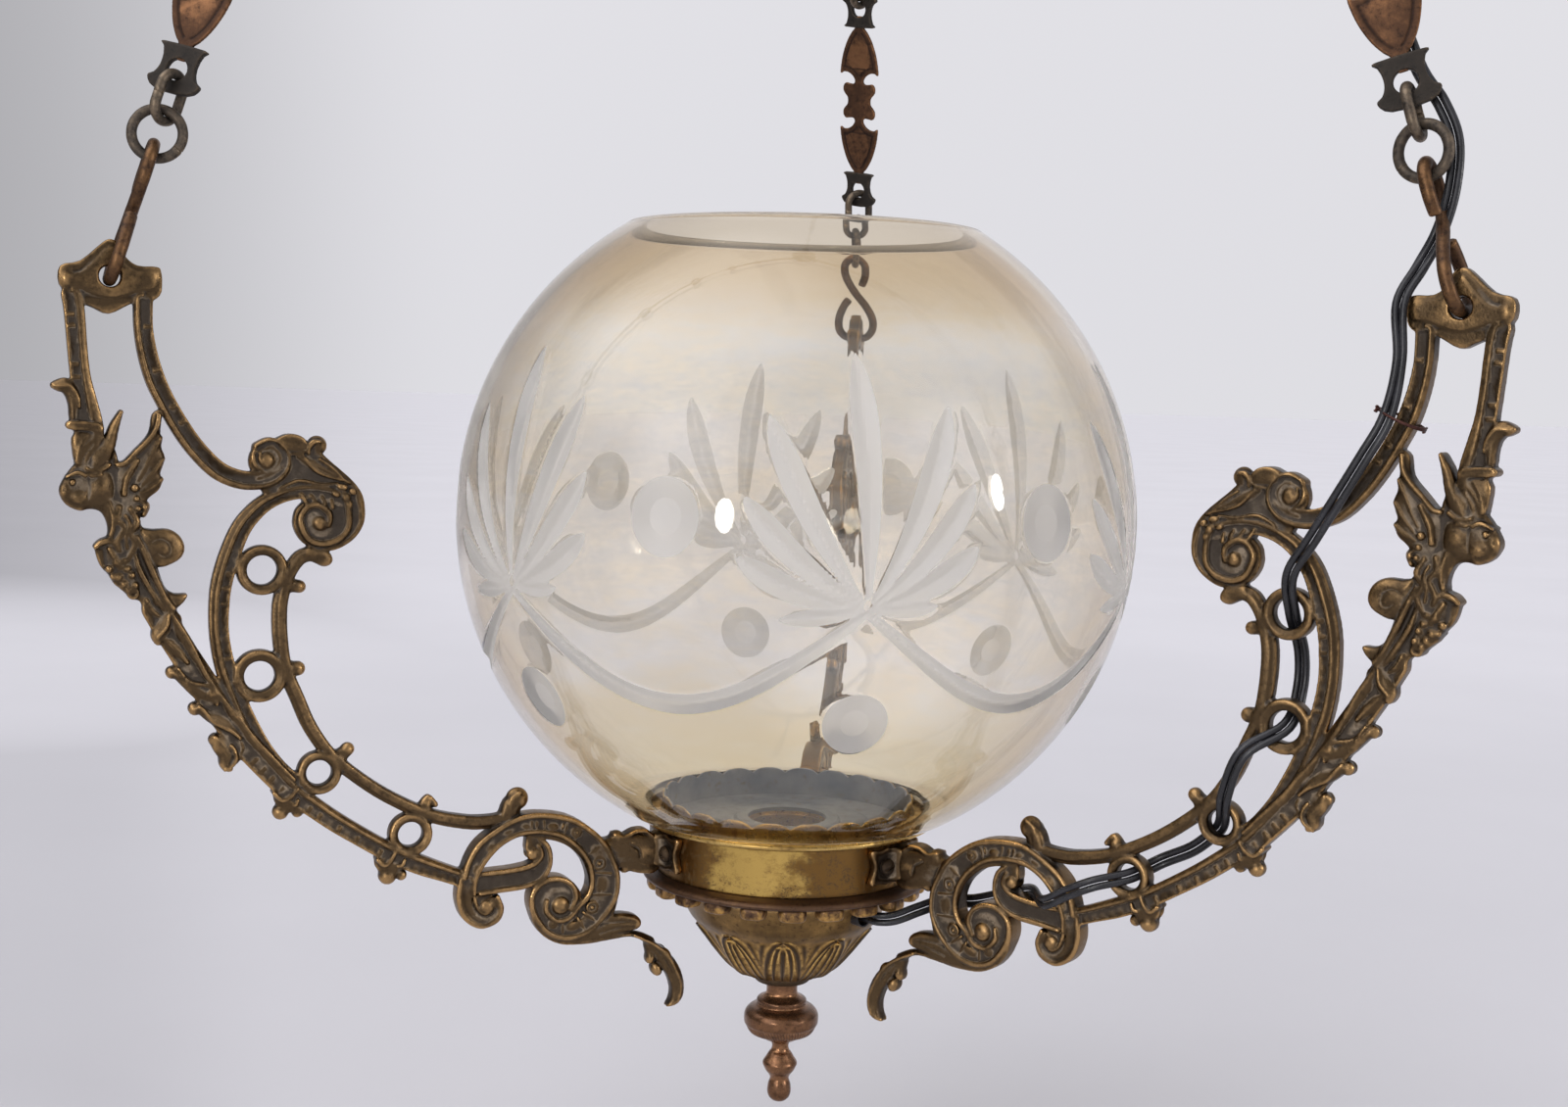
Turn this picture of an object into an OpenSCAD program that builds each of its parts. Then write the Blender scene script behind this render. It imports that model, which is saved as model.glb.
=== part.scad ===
// Hanging lantern: glass ball in a brass gallery, three cast scroll arms,
// stamped link chains up to a small crown, and a ring to hang it from.
// Millimetres, +Z up. The origin is the centre of the suspension ring.
// Heights of the lower part are given above the top edge of the gallery band.

/* [Overall] */
// Distance from the suspension ring's centre down to the top edge of the gallery band
drop = 900; // [900:1:900]
// Number of arms and chains
arm_n = 3; // [3:1:3]
// Radius at which the chain hooks into an arm's tip plate
span_r = 232; // [232:1:232]
// Height of the hook hole above the gallery band's top edge
hole_z = 182; // [182:1:182]
// Lean of the chains from the vertical, degrees
lean = 17.1; // [17.1:0.1:17.1]

/* [Globe] */
// Outer radius of the glass ball
globe_r = 120; // [118:0.5:121]
// Wall thickness of the glass
glass_t = 3; // [2:0.25:4]
// Height of the ball's centre above the gallery band's top edge
globe_z = 108.5; // [107:0.5:110]
// Radius of the opening at the top
mouth_r = 62; // [58:1:66]

/* [Gallery] */
// Outer radius of the polished band
band_r = 47; // [46.5:0.1:47]
// Height of the polished band
band_h = 17.5; // [16:0.5:17.5]
// Number of blocks under the ledge
block_n = 22; // [18:1:24]
// Width of one block
block_w = 9.5; // [7:0.5:10]
// Number of scallops on the cup
scallop_n = 22; // [16:1:26]

/* [Arms] */
// Thickness of the rails
rail_t = 9; // [7:0.5:10]
// Thickness of the scroll at the foot
scroll_t = 12; // [10:0.5:13]
// Thickness of the beast's head and neck
beast_t = 12.6; // [10:0.2:14]
// Thickness of the thin inner rail and of the pierced rings
thin_t = 7; // [5:0.5:8]
// Thickness of the tip plate
tip_t = 8; // [6:0.5:8]

/* [Chains] */
// Wire radius of the rings and the oval links
wire_r = 1.65; // [1.4:0.05:1.7]
// Wire radius of the hooks
hook_r = 2; // [1.6:0.05:2.1]
// Stamped units in each chain
unit_n = 6; // [6:1:6]
// Length from one stamped unit to the next
unit_p = 98.6; // [98.6:0.1:98.6]
// Sheet thickness of the stamped links
sheet_t = 1.3; // [1:0.1:1.3]
// Thickness of the connector plates
conn_t = 2.2; // [1.8:0.1:2.4]

/* [Suspension] */
// Bore radius of the suspension ring
eye_r = 10; // [10:0.5:12]
// Thickness of the suspension ring
eye_t = 5; // [4:0.5:5]

/* [Leads] */
// Radius of one lead
lead_r = 1.15; // [1:0.05:1.2]

/* [Hidden] */
$fn = 64;

AZ = [210, 330, 90];            // left, right, rear
BZ = -drop;                     // the band's top edge
// turn of the ring, the first oval and the connectors about each chain
TWIST = [[-15, 45, -35], [-8, 95, 16], [10, 115, 60]];

brass = "#8a6a34"; dark = "#4c3b2a"; polished = "#c9a04a"; iron = "#4a4038";
copper = "#7d5133"; rust = "#7a4a2c"; glassy = "#c9b68a"; black = "#1c1c1e"; zinc = "#8d9196";

// ---------- point functions ----------
function unit(v) = v / norm(v);
function cat(a, b, c, d, t) = 0.5 * (2*b + (c - a)*t + (2*a - 5*b + 4*c - d)*t*t + (3*b - a - 3*c + d)*t*t*t);
function smooth(P, k = 2) = let (n = len(P)) concat(
  [for (i = [0:n-2]) for (j = [0:k-1]) cat(P[max(i-1, 0)], P[i], P[i+1], P[min(i+2, n-1)], j/k)], [P[n-1]]);
function tdir(P, i) = unit(P[min(i+1, len(P)-1)] - P[max(i-1, 0)]);
function flat2(P) = [for (p = P) [p[0], p[1]]];
// outline of a band that follows [x, y, half width]
function ribbon(P, k = 2) = let (S = smooth(P, k), F = flat2(S), n = len(S)) concat(
  [for (i = [0:n-1]) let (t = tdir(F, i)) [S[i][0] - t[1]*S[i][2], S[i][1] + t[0]*S[i][2]]],
  [for (i = [n-1:-1:0]) let (t = tdir(F, i)) [S[i][0] + t[1]*S[i][2], S[i][1] - t[0]*S[i][2]]]);
// normals carried along a path in space
function carry(P, i = 0, prev = [0, 0, 1], acc = []) = i >= len(P) ? acc :
  let (t = tdir(P, i), b = i == 0 && abs(t[2]) > 0.9 ? [1, 0, 0] : prev, n = unit(b - t*(b*t)))
  carry(P, i+1, n, concat(acc, [n]));

module strip(P, k = 2) {
  e = P[len(P)-1];
  polygon(ribbon(P, k));
  translate([P[0][0], P[0][1]]) circle(P[0][2]*0.96);
  translate([e[0], e[1]]) circle(e[2]*0.96);
}
module dot(x, y, r) { translate([x, y]) circle(r); }
// a solid slab standing in the XZ plane
module slab(t) { rotate([90, 0, 0]) linear_extrude(height = t, center = true) children(); }
module tube(P, r, n = 8) {
  N = carry(P); m = len(P);
  pts = [for (i = [0:m-1]) for (k = [0:n-1]) let (t = tdir(P, i))
    P[i] + r*(cos(360*k/n)*N[i] + sin(360*k/n)*cross(t, N[i]))];
  sides = [for (i = [0:m-2]) for (k = [0:n-1]) [i*n+k, (i+1)*n+k, (i+1)*n+(k+1)%n, i*n+(k+1)%n]];
  polyhedron(points = pts, faces = concat([[for (k = [0:n-1]) k]], [[for (k = [n-1:-1:0]) (m-1)*n+k]], sides), convexity = 10);
}
module hexnut(r, bore, h) { difference() { cylinder(r = r, h = h, $fn = 6); translate([0, 0, -1]) cylinder(r = bore, h = h+2); } }

// ---------- suspension ----------
module suspension_ring() color(iron) difference() {
  union() {
    rotate([90, 0, 0]) rotate_extrude()
      polygon([[eye_r, -eye_t/2+1], [eye_r+1, -eye_t/2], [eye_r+4, -eye_t/2], [eye_r+5, -eye_t/2+1],
               [eye_r+5, eye_t/2-1], [eye_r+4, eye_t/2], [eye_r+1, eye_t/2], [eye_r, eye_t/2-1]]);
    slab(4.4) difference() { union() { dot(0, -19.6, 6.6); polygon([[-7.5, -13], [7.5, -13], [6.2, -17.4], [-6.2, -17.4]]); } dot(0, 0, 12); }
  }
  translate([0, 0, -19.6]) rotate([90, 0, 0]) cylinder(r = 3.4, h = 12, center = true);
}
module hang_link() color(iron) translate([0, 0, -24.6]) rotate([0, 0, 90]) {
  rotate([90, 0, 0]) rotate_extrude(angle = 180) translate([5.1, 0]) circle(2);
  translate([0, 0, -5.9]) mirror([0, 0, 1]) rotate([90, 0, 0]) rotate_extrude(angle = 180) translate([5.1, 0]) circle(2);
  for (x = [-5.1, 5.1]) translate([x, 0, -5.9]) cylinder(r = 2, h = 5.9);
}
module crown_loop() color(dark) {
  translate([0, 0, -39.6]) rotate([90, 0, 0]) rotate_extrude() translate([8, 0]) circle(2);
  translate([0, 0, -96]) cylinder(r = 3.6, h = 47.5);
}
module crown_body() color(brass) difference() {
  union() {
    rotate_extrude() polygon([[3.7, -51.5], [8.5, -51.5], [9.6, -53.5], [8.5, -56.5], [6.5, -58.5], [6.5, -62], [10, -64.5],
      [13.5, -68], [14.2, -71.5], [12.5, -75], [9.5, -77.5], [11, -80], [20, -81.5], [29, -82.5], [31.5, -84],
      [31.5, -86.5], [29, -88.5], [12, -88.5], [3.7, -88.5]]);
    for (a = AZ) rotate([0, 0, a]) slab(5) { dot(37.9, -86.9, 5.7); translate([26, -89.5]) square([12, 6]); }
  }
  for (a = AZ) rotate([0, 0, a]) translate([37.9, 0, -86.9]) rotate([90, 0, 0]) cylinder(r = 3.4, h = 12, center = true);
}
module crown_nut() color(iron) translate([0, 0, -93.6]) hexnut(7.5, 3.65, 5);
module terminal_block() color("#d8d2c0") rotate([0, 0, AZ[1]]) translate([4, -19, -98.5]) difference() {
  cube([18, 10, 10]);
  for (x = [5, 13]) translate([x, 5, -1]) cylinder(r = 1.9, h = 7);
}

// ---------- chains ----------
module on_chain(i) rotate([0, 0, AZ[i]]) translate([span_r, 0, hole_z + BZ]) rotate([0, -lean, 0]) children();
// a piece of plane angle a at distance s along the chain
module at(s, a) translate([0, 0, s]) rotate([0, 0, a]) children();
module ring_link() rotate([90, 0, 0]) rotate_extrude() translate([7.65, 0]) circle(wire_r);
module oval_link() {
  for (m = [0, 1]) mirror([0, 0, m]) translate([0, 0, 2.5]) rotate([90, 0, 0]) rotate_extrude(angle = 180) translate([4.95, 0]) circle(wire_r);
  for (x = [-4.95, 4.95]) translate([x, 0, -2.5]) cylinder(r = wire_r, h = 5);
}
// half outlines, x against height from the unit's lower edge
CONN = [[5.6, 0], [9.1, 3.2], [7.3, 4.8], [6.3, 6.6], [5.9, 8.7], [6.1, 11.2], [6.8, 13.4], [7.3, 15]];
SHIELD = [[2.4, 10.6], [2.4, 15], [4.2, 17.2], [6.6, 21], [8.6, 26], [9.8, 31], [10.2, 35.6], [8.4, 34.8], [6, 35], [4, 36],
          [2.7, 37.4], [2.2, 38.8], [3.2, 39.9], [5.2, 39.8], [7.2, 39.6], [8.5, 41], [8.6, 43], [7.6, 44.6], [6.4, 45.8], [6, 47.5]];
function both(H) = concat(H, [for (i = [len(H)-1:-1:0]) [-H[i][0], H[i][1]]]);
function upper(H, c) = [for (i = [len(H)-2:-1:0]) [H[i][0], 2*c - H[i][1]]];
module connector() difference() {
  slab(conn_t) difference() { polygon(both(CONN)); dot(0, 7.2, 3.5); }
  translate([-2.5, -0.7, 10.5]) cube([5, 1.4, 5]);
}
module stamped() slab(sheet_t) polygon(both(concat(SHIELD, upper(SHIELD, 47.5))));
function twist(i, u) = TWIST[i][2] * (1 - u/5);
HOOK = [[-3.2, 28.5], [-5, 34], [-4.6, 40.3], [0, 44], [4.6, 40.3], [4.9, 34.5], [2.8, 29], [-0.5, 23.5], [-5, 17.5], [-8.2, 11],
        [-8.2, 5.5], [-5.6, 1.4], [-2, 0.1], [2, 0.1], [5.6, 1.4], [8.2, 5.5], [8, 11.5], [5.6, 17.5], [3.4, 20.5]];
module hook(i) color(rust) on_chain(i) tube([for (p = smooth(HOOK, 2)) [0, p[0], p[1]]], hook_r, 10);
module rings(i) color(iron) on_chain(i) { at(47.4, TWIST[i][0]) ring_link(); at(650.9, 90) ring_link(); }
module ovals(i) color(iron) on_chain(i) {
  at(59.15, TWIST[i][1]) oval_link();
  for (u = [0:unit_n-2]) at(157.7 + unit_p*u, 90 + (twist(i, u) + twist(i, u+1))/2) oval_link();
}
module connectors(i) color(iron) on_chain(i) for (u = [0:unit_n-1]) {
  at(60.9 + unit_p*u, twist(i, u)) connector();
  at(60.9 + 95 + unit_p*u, twist(i, u)) mirror([0, 0, 1]) connector();
}
module plates(i) color(copper) on_chain(i) for (u = [0:unit_n-1]) at(60.9 + unit_p*u, twist(i, u)) stamped();

// ---------- arms: [distance from the axis, height above the band, half width] ----------
TIP = [[229, 192.8], [231.5, 194.3], [234, 193.3], [240.5, 187.4], [246.2, 185.6], [246.6, 180], [243, 176.5], [240, 174.5],
       [237, 173.2], [232.3, 171.5], [226.5, 174.5], [223, 176], [219.2, 176.2], [216.8, 179], [217, 185], [218.2, 186.5], [224, 186.7], [227.5, 189.3]];
OUTER_RAIL = [[243, 177, 3.2], [242.2, 172, 3.2], [241.3, 160, 3], [240.5, 152, 3.1], [239.5, 145, 4], [238.2, 137, 5], [238, 128, 4]];
LEAF_HOOK = [[241, 139, 2.6], [243.5, 145, 2.2], [245.8, 148.8, 1.6]];
BEAST = [[229, 142.5], [230.8, 142], [233.5, 134], [238, 128.5], [242, 125.5], [245, 121.5], [246.8, 117], [245, 113], [241, 111],
         [237.5, 111.5], [234.2, 109.5], [232.6, 106], [233.2, 103], [236.7, 100], [235.5, 96.5], [234, 93], [231.5, 90.5], [229.5, 87.5],
         [227, 86], [224, 82.7], [222, 80], [220.5, 76], [220.3, 71.5], [217.5, 68.2], [215, 63.5], [212, 58], [203, 60.5], [207.5, 68],
         [212.2, 78], [208.7, 84.3], [216, 86], [217.8, 92], [219, 96], [221.5, 104], [224, 106], [223.5, 111], [220.5, 115],
         [218, 117.5], [216.5, 120.3], [217.4, 124], [215.8, 127.5], [216.6, 133], [217, 142], [220, 141], [220.6, 134.5],
         [223, 130.5], [226, 127.3], [229.3, 126.2], [230.4, 130], [230, 136]];
INNER_RAIL = [[222.3, 176, 3], [222.2, 168, 2.9], [221, 160, 3], [218.7, 152, 3.1], [215.5, 145, 3], [211, 137, 3.1], [206, 130, 3.1],
              [200, 124, 3], [194, 120.3, 2.8], [188.5, 119.2, 2.4], [183, 118.8, 2.2], [179.3, 122, 2.2], [178.4, 126.5, 2], [180, 130.8, 1.9], [184.5, 132.6, 1.9]];
MAIN_RAIL = [[183, 115.5, 2.5], [188, 111.5, 2.8], [192.5, 105.5, 3.2], [196, 97, 3.3], [198.5, 88, 3.3], [199.3, 80, 3.2], [199.2, 72, 3.1],
             [198, 64, 3.2], [196, 57, 3.3], [193, 48.5, 3.3], [189.5, 41, 3.2], [185.5, 34, 3], [180.5, 27.5, 2.8], [176, 23, 2.8]];
LOW_RAIL = [[209, 64, 3.8], [203, 57, 4.6], [199.5, 50, 5], [194.5, 41, 5], [188.5, 33, 4.8], [182.5, 26, 4.2], [177, 20, 3.8], [170, 14.5, 3.4],
            [162, 8.5, 3.4], [154, 3.2, 3.2], [147, -1.2, 3.2], [140, -5, 3.4], [133, -8.2, 3.4], [126, -11, 3], [117, -14.2, 3]];
THIN_RAIL = [[166.5, 96, 2.4], [170, 97.5, 2.2], [174, 96, 2.2], [177, 92, 2], [179, 87, 1.9], [180.4, 80, 2.1], [180.2, 70, 2.1], [178.6, 60, 2.1],
             [174.6, 50, 2.3], [170.2, 40, 2.3], [163, 30, 2.3], [151, 20, 2.3], [140, 13.2, 2.2], [130, 8.5, 2.4], [120, 6, 2.6], [113, 5.3, 2.5],
             [106, 6, 2.4], [102, 8.6, 2.4]];
CREST = [[182, 131, 2], [178, 131, 3.6], [172, 130, 3.6], [166, 125.5, 3], [160, 119.5, 3.4], [156.6, 112, 3.2], [157, 105.5, 3.4],
         [161, 101.8, 3], [167, 100.3, 2.6], [172, 103.2, 2.3], [173.4, 108, 2.2]];
VOLUTE = [[183, 118, 2.2], [175, 118.4, 2.4], [166, 117.6, 3], [160, 113, 3]];
BASE = [[123, -14, 3], [118.5, -11, 3], [114.5, -5.5, 3], [108.5, 0, 3.2], [101, 3, 3.4], [92, 2.2, 4.3], [85.5, 0.6, 4.3], [79.5, -3, 4.3],
        [73.8, -8.6, 4.9], [69.8, -17, 6.1], [70.2, -27, 5.6], [75, -34, 4.8], [82, -36.5, 4], [89, -33.5, 3.6], [93.3, -27.5, 3.3], [92.3, -21.5, 3],
        [87.6, -18.2, 2.6], [83.5, -18.6, 2.3]];
BASE_END = [[122, -14, 2.8], [120, -20, 2.4], [118, -26.2, 2.4], [113.5, -29, 2.2]];
BRANCH = [[114, -15.6, 3], [104, -15.2, 3.4], [97, -14, 3.4], [92, -10.5, 3], [91.5, -7, 2.6], [93.2, -3, 2.2]];
BUD = [[74, -35.5, 3], [66, -34, 3.4], [60, -33, 2.8], [56.5, -34, 1.8]];
STEM = [[82, -38.5, 2], [72, -39.3, 2], [62, -39, 1.7], [55, -39.5, 1.7], [49, -42.5, 2.4], [44.8, -48, 3], [41.8, -54, 2.7], [41.2, -60, 2.4],
        [42.5, -64, 1.4]];
BALLS = [[248.2, 149.5, 2.4], [166.5, 95.8, 2.7], [213.2, 59.4, 2.5], [206.3, 47.4, 2.5], [200.8, 37.2, 2.2], [179.3, 12.3, 3.1], [144, -11.7, 3.3],
         [100.7, 12.6, 4.3], [174.2, 86.3, 2.3], [174.3, 59.8, 2.7], [158.2, 32.5, 2.5], [132, 12.6, 2.3], [169.5, 132, 3.4], [64.2, -4.6, 3.3], [50, -50, 2.6]];

module arm(i) color(brass) rotate([0, 0, AZ[i]]) translate([0, 0, BZ]) {
  difference() {
    union() {
      slab(rail_t) { strip(OUTER_RAIL); strip(INNER_RAIL); strip(MAIN_RAIL); strip(LOW_RAIL); dot(181, 15.3, 4.6); dot(146, -8.2, 4.4); }
      slab(tip_t) polygon(TIP);
      slab(beast_t) { polygon(BEAST); dot(215, 99.3, 5.4); strip([[203, 43, 1.6], [200.5, 33, 2.6], [197.4, 28.6, 1.8], [193.5, 30, 1.4]]); }
      slab(thin_t) { strip(LEAF_HOOK); strip(THIN_RAIL); dot(186, 92, 8.2); dot(186.6, 57.8, 8.8); dot(167.5, 25.3, 7.3); dot(137.3, 2.9, 7.5); }
      slab(rail_t + 0.8) { strip(CREST); strip(VOLUTE); dot(186.5, 128, 2.6); }
      slab(scroll_t) { strip(BASE); strip(BRANCH); dot(84.5, -25.6, 4.6); strip([[84.5, -19.5, 2], [82, -24, 2.2]], 1); dot(95.2, -5.6, 2.8); }
      slab(thin_t + 1) { strip(BASE_END); dot(110.4, -25.4, 5); strip(BUD); strip(STEM); polygon([[66, -34], [75, -38.6], [84, -38.6], [78, -32]]); }
      // lug and foot plate
      slab(thin_t + 0.4) { polygon([[48, -14], [60, -15.5], [66, -16.5], [71, -9], [66, -2.5], [59, 1.3], [56, 1.7], [53.8, 1.2], [53.3, -0.4], [48, -1.5]]); dot(61, -14, 2.6); }
      translate([0, 0, -15]) rotate([0, 0, -17]) rotate_extrude(angle = 34) translate([47.06, 0]) square([2.9, 13.5]);
    }
    translate([span_r, 0, hole_z]) rotate([90, 0, 0]) cylinder(r = 3.2, h = 20, center = true);
    for (p = [[186, 92, 4.7], [186.6, 57.8, 4.9], [167.5, 25.3, 4.2], [137.3, 2.9, 4.2]])
      translate([p[0], 0, p[1]]) rotate([90, 0, 0]) cylinder(r = p[2], h = 20, center = true);
    for (s = [-8.5, 8.5]) rotate([0, 0, s]) translate([46, 0, -8.5]) rotate([0, 90, 0]) cylinder(r = 1.6, h = 8);
    translate([0, 0, -30]) cylinder(r = 47.06, h = 34);
  }
  for (b = BALLS) translate([b[0], 0, b[1]]) sphere(r = b[2]);
}
module arm_screws() color(dark) for (a = AZ) for (s = [-8.5, 8.5]) rotate([0, 0, a + s]) translate([0, 0, -8.5 + BZ]) rotate([0, 90, 0]) {
  translate([0, 0, 42.6]) cylinder(r = 1.5, h = 8);
  difference() {
    intersection() { translate([0, 0, 48.7]) sphere(r = 3.5); translate([0, 0, 50.02]) cylinder(r = 3, h = 5); }
    translate([-4, -0.35, 51.4]) cube([8, 0.7, 2]);
  }
}
module arm_nuts() color(iron) for (a = AZ) for (s = [-8.5, 8.5]) rotate([0, 0, a + s]) translate([0, 0, -8.5 + BZ]) rotate([0, 90, 0])
  translate([0, 0, 43]) hexnut(2.9, 1.52, 2.4);

// ---------- gallery ----------
module gallery_band() color(polished) translate([0, 0, BZ]) difference() {
  rotate_extrude() polygon([[45.6, -band_h], [band_r, -band_h], [band_r, -1.3], [band_r+0.35, -0.9], [band_r+0.35, -0.3], [band_r, 0], [45.6, 0]]);
  for (a = AZ) for (s = [-8.5, 8.5]) rotate([0, 0, a + s]) translate([44, 0, -8.5]) rotate([0, 90, 0]) cylinder(r = 1.6, h = 5);
}
module gallery_ledge() color(brass) translate([0, 0, BZ]) {
  rotate_extrude() polygon([[38.8, -21], [51, -21], [51.6, -20.4], [51.2, -19.7], [51.9, -19.1], [51.9, -18.2], [51.2, -17.55], [38.8, -17.55]]);
  for (k = [0:block_n-1]) rotate([0, 0, -80.1 + k*360/block_n]) translate([44.2, -block_w/2, -25.6]) cube([6, block_w, 4.8]);
}
module globe_seat() color(zinc) translate([0, 0, BZ]) difference() {
  rotate_extrude() polygon([[42, -4.3], [45.4, -4.3], [45.4, 0.05], [52.6, 0.3], [52.8, 2], [52, 2.5], [46.4, 2.4], [45.5, 3.2], [45.5, 8.5], [44.3, 8.5], [44.3, -3.1], [42, -3.1]]);
  for (k = [0:scallop_n-1]) rotate([0, 0, (k+0.5)*360/scallop_n]) translate([43, 0, 9]) rotate([0, 90, 0]) cylinder(r = 2.3, h = 4);
}
module cup_plate() color(zinc) translate([0, 0, BZ-3.05]) difference() { cylinder(r = 44.2, h = 1.2); translate([0, 0, -1]) cylinder(r = 16, h = 4); }

module globe() color(glassy, 0.55) translate([0, 0, BZ]) rotate_extrude() {
  difference() {
    translate([0, globe_z]) circle(globe_r);
    translate([0, globe_z]) circle(globe_r - glass_t);
    translate([-200, -20]) square([200, 260]);
    translate([-1, globe_z + sqrt(globe_r*globe_r - mouth_r*mouth_r)]) square([90, 40]);
    translate([-1, -20]) square([90, 25.4]);
  }
  polygon([[49.8, 2.8], [52.8, 2.8], [56.6, 3.3], [59.6, 4.4], [61.0, 5.6], [57.5, 6.2], [54.2, 5.9], [49.8, 5.6]]);
}

// ---------- lampholder and rod ----------
module lampholder_flange() color(zinc) translate([0, 0, BZ]) rotate_extrude() polygon([[14.3, -1.8], [19.5, -1.8], [19.5, -1.2], [18.5, -0.4], [14.3, -0.4]]);
module lampholder_shell() color(brass) translate([0, 0, BZ]) rotate_extrude() polygon([[14.2, -38], [15.6, -38], [15.6, -1.85], [14.2, -1.85]]);
module lamp_screw_shell() color(polished) translate([0, 0, BZ]) rotate_extrude() polygon([[12.9, -30], [13.6, -30], [13.6, -3], [12.9, -3]]);
module lampholder_core() color("#e6e2d6") translate([0, 0, BZ]) rotate_extrude() polygon([[3.2, -38], [14.1, -38], [14.1, -20], [13.65, -20], [13.65, -30.1], [3.2, -30.1]]);
module lamp_contact() color(brass) translate([0, 0, BZ-38]) { cylinder(r = 3.1, h = 6); translate([0, 0, 6]) cylinder(r = 4, h = 2.6); }
module lampholder_base() color(brass) translate([0, 0, BZ]) rotate_extrude() polygon([[3.05, -47], [6.5, -47], [6.5, -45], [13, -43.5], [15.6, -38.1], [3.05, -38.1]]);
module tie_rod() color(iron) translate([0, 0, BZ-80]) cylinder(r = 3, h = 40);
module rod_nut() color(iron) translate([0, 0, BZ-55.5]) hexnut(5.8, 3.05, 4.5);
module bowl() color(brass) translate([0, 0, BZ]) difference() {
  rotate_extrude() polygon([[3.3, -57], [11, -57], [14, -56.7], [20.6, -54], [24.5, -50.5], [28, -46], [31.5, -40.5], [33.5, -38], [36.4, -35.3],
    [37.5, -30], [40, -24.2], [43.4, -22.6], [43.6, -21.05], [38.9, -21.05], [38.5, -23.4], [36, -29.8], [35, -34.6], [32.4, -37], [30.3, -39.8], [26.8, -45.2],
    [23.4, -49.6], [19.9, -52.8], [13.6, -55.3], [11, -55.6], [3.3, -55.6]]);
  rotate([0, 0, 320]) translate([30, 0, -28]) rotate([0, 90, 0]) cylinder(r = 3.5, h = 14);
}
module neck_washer() color(dark) translate([0, 0, BZ-60]) difference() { cylinder(r1 = 9.8, r2 = 10.9, h = 2.95); translate([0, 0, -1]) cylinder(r = 3.2, h = 6); }
FINIAL = [[5.75, -60.25], [5.75, -65.4], [8.7, -66.8], [9.4, -69.3], [11.5, -70.1], [13.6, -73.2], [13.6, -76.4], [11.7, -78.6], [9.1, -80.2],
          [5.8, -82.2], [3.6, -83.2], [3, -85.4], [4.1, -87.4], [5.3, -89.4], [6.35, -91.5], [5.6, -93.5], [4, -95.5], [3.45, -97.1], [4.1, -99.1],
          [4.35, -101.5], [3.9, -103.5], [1.8, -105.4], [0, -105.9]];
module finial() color(copper) translate([0, 0, BZ]) difference() {
  rotate_extrude() polygon(concat(FINIAL, [[0, -60.25]]));
  translate([0, 0, -80.5]) cylinder(r = 3.06, h = 21);
}

// ---------- leads: [distance, sideways, height] beside the right arm, then along its chain ----------
function along(x, y, s) = [span_r + x*cos(lean) - s*sin(lean), y, hole_z + x*sin(lean) + s*cos(lean)];
ROUTE = concat([[14.2, -3, -41], [22, -4.2, -38.5], [30, -5.3, -29.6], [35.6, -6.3, -28], [41, -7.2, -28.1], [46, -7.8, -29.2], [51.5, -5, -28.4], [57, 1.5, -24.4], [64, 8.5, -20.5],
  [74, 9.4, -19], [84, 9.2, -15.5], [93, 8.8, -12], [102.5, 0, -8.6], [111, -8.2, -9], [119, -8.4, -4.5], [128, -7, 0], [137.3, 0, 3],
  [145, 6.8, 8], [155, 7, 13.5], [162.5, 5.5, 20], [167.5, 0, 25.3], [170.5, -6, 35], [176, -7, 49], [186.6, 0, 57.8], [187.6, 6.4, 68], [187.5, 6.4, 80],
  [186.6, 0, 92], [188, -7, 104], [195, -8, 116], [208, -8, 139], [214.2, -6.5, 152], [215.8, -4.4, 168], [215.4, -4.4, 184]],
  [for (p = [[-9.5, 1, 16], [-1, 1.5, 23.5], [7, 3, 34], [11.6, 4, 48], [9, 5, 60], [3, 5, 74], [1, 4.4, 105], [5, 4.6, 150], [5.8, 4.6, 160],
    [0, 4.6, 205], [5.8, 4.6, 256], [0, 4.6, 304], [5.8, 4.6, 355], [0, 4.6, 402], [5.8, 4.6, 453], [0, 4.6, 500], [5.8, 4.6, 552],
    [0.5, 5.4, 592]]) along(p[0], p[1], p[2])],
  [[49.5, 7.4, 768], [42, 6, 778], [33, 1, 784], [24, -6.5, 787], [16.8, -12, 791], [13.4, -13.8, 797], [13, -14, 805]]);
// the two strands part where they enter their own holes of the terminal block
function part(i) = let (e = len(ROUTE)-1-i) e < 2 ? 3.28 : e == 2 ? 2 : 1;
function strand(k) = [for (i = [0:len(ROUTE)-1]) let (t = tdir(ROUTE, i)) ROUTE[i] + k*part(i)*unit([-t[2], 0, t[0]])];
module lead(k) color(black) rotate([0, 0, AZ[1]]) translate([0, 0, BZ]) tube(strand(k), lead_r, 8);
module lead_bush() color(black) translate([0, 0, BZ-28]) rotate([0, 0, 320]) rotate([0, 90, 0])
  difference() { translate([0, 0, 35.5]) cylinder(r = 3.45, h = 5.2); translate([0, 0, 30]) cylinder(r = 2.95, h = 14); }
module lead_tie() color(dark) rotate([0, 0, AZ[1]]) translate([217, -1.6, 151 + BZ]) rotate([0, 24.5, 0]) rotate_extrude() translate([7.4, 0]) circle(0.4);

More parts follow.
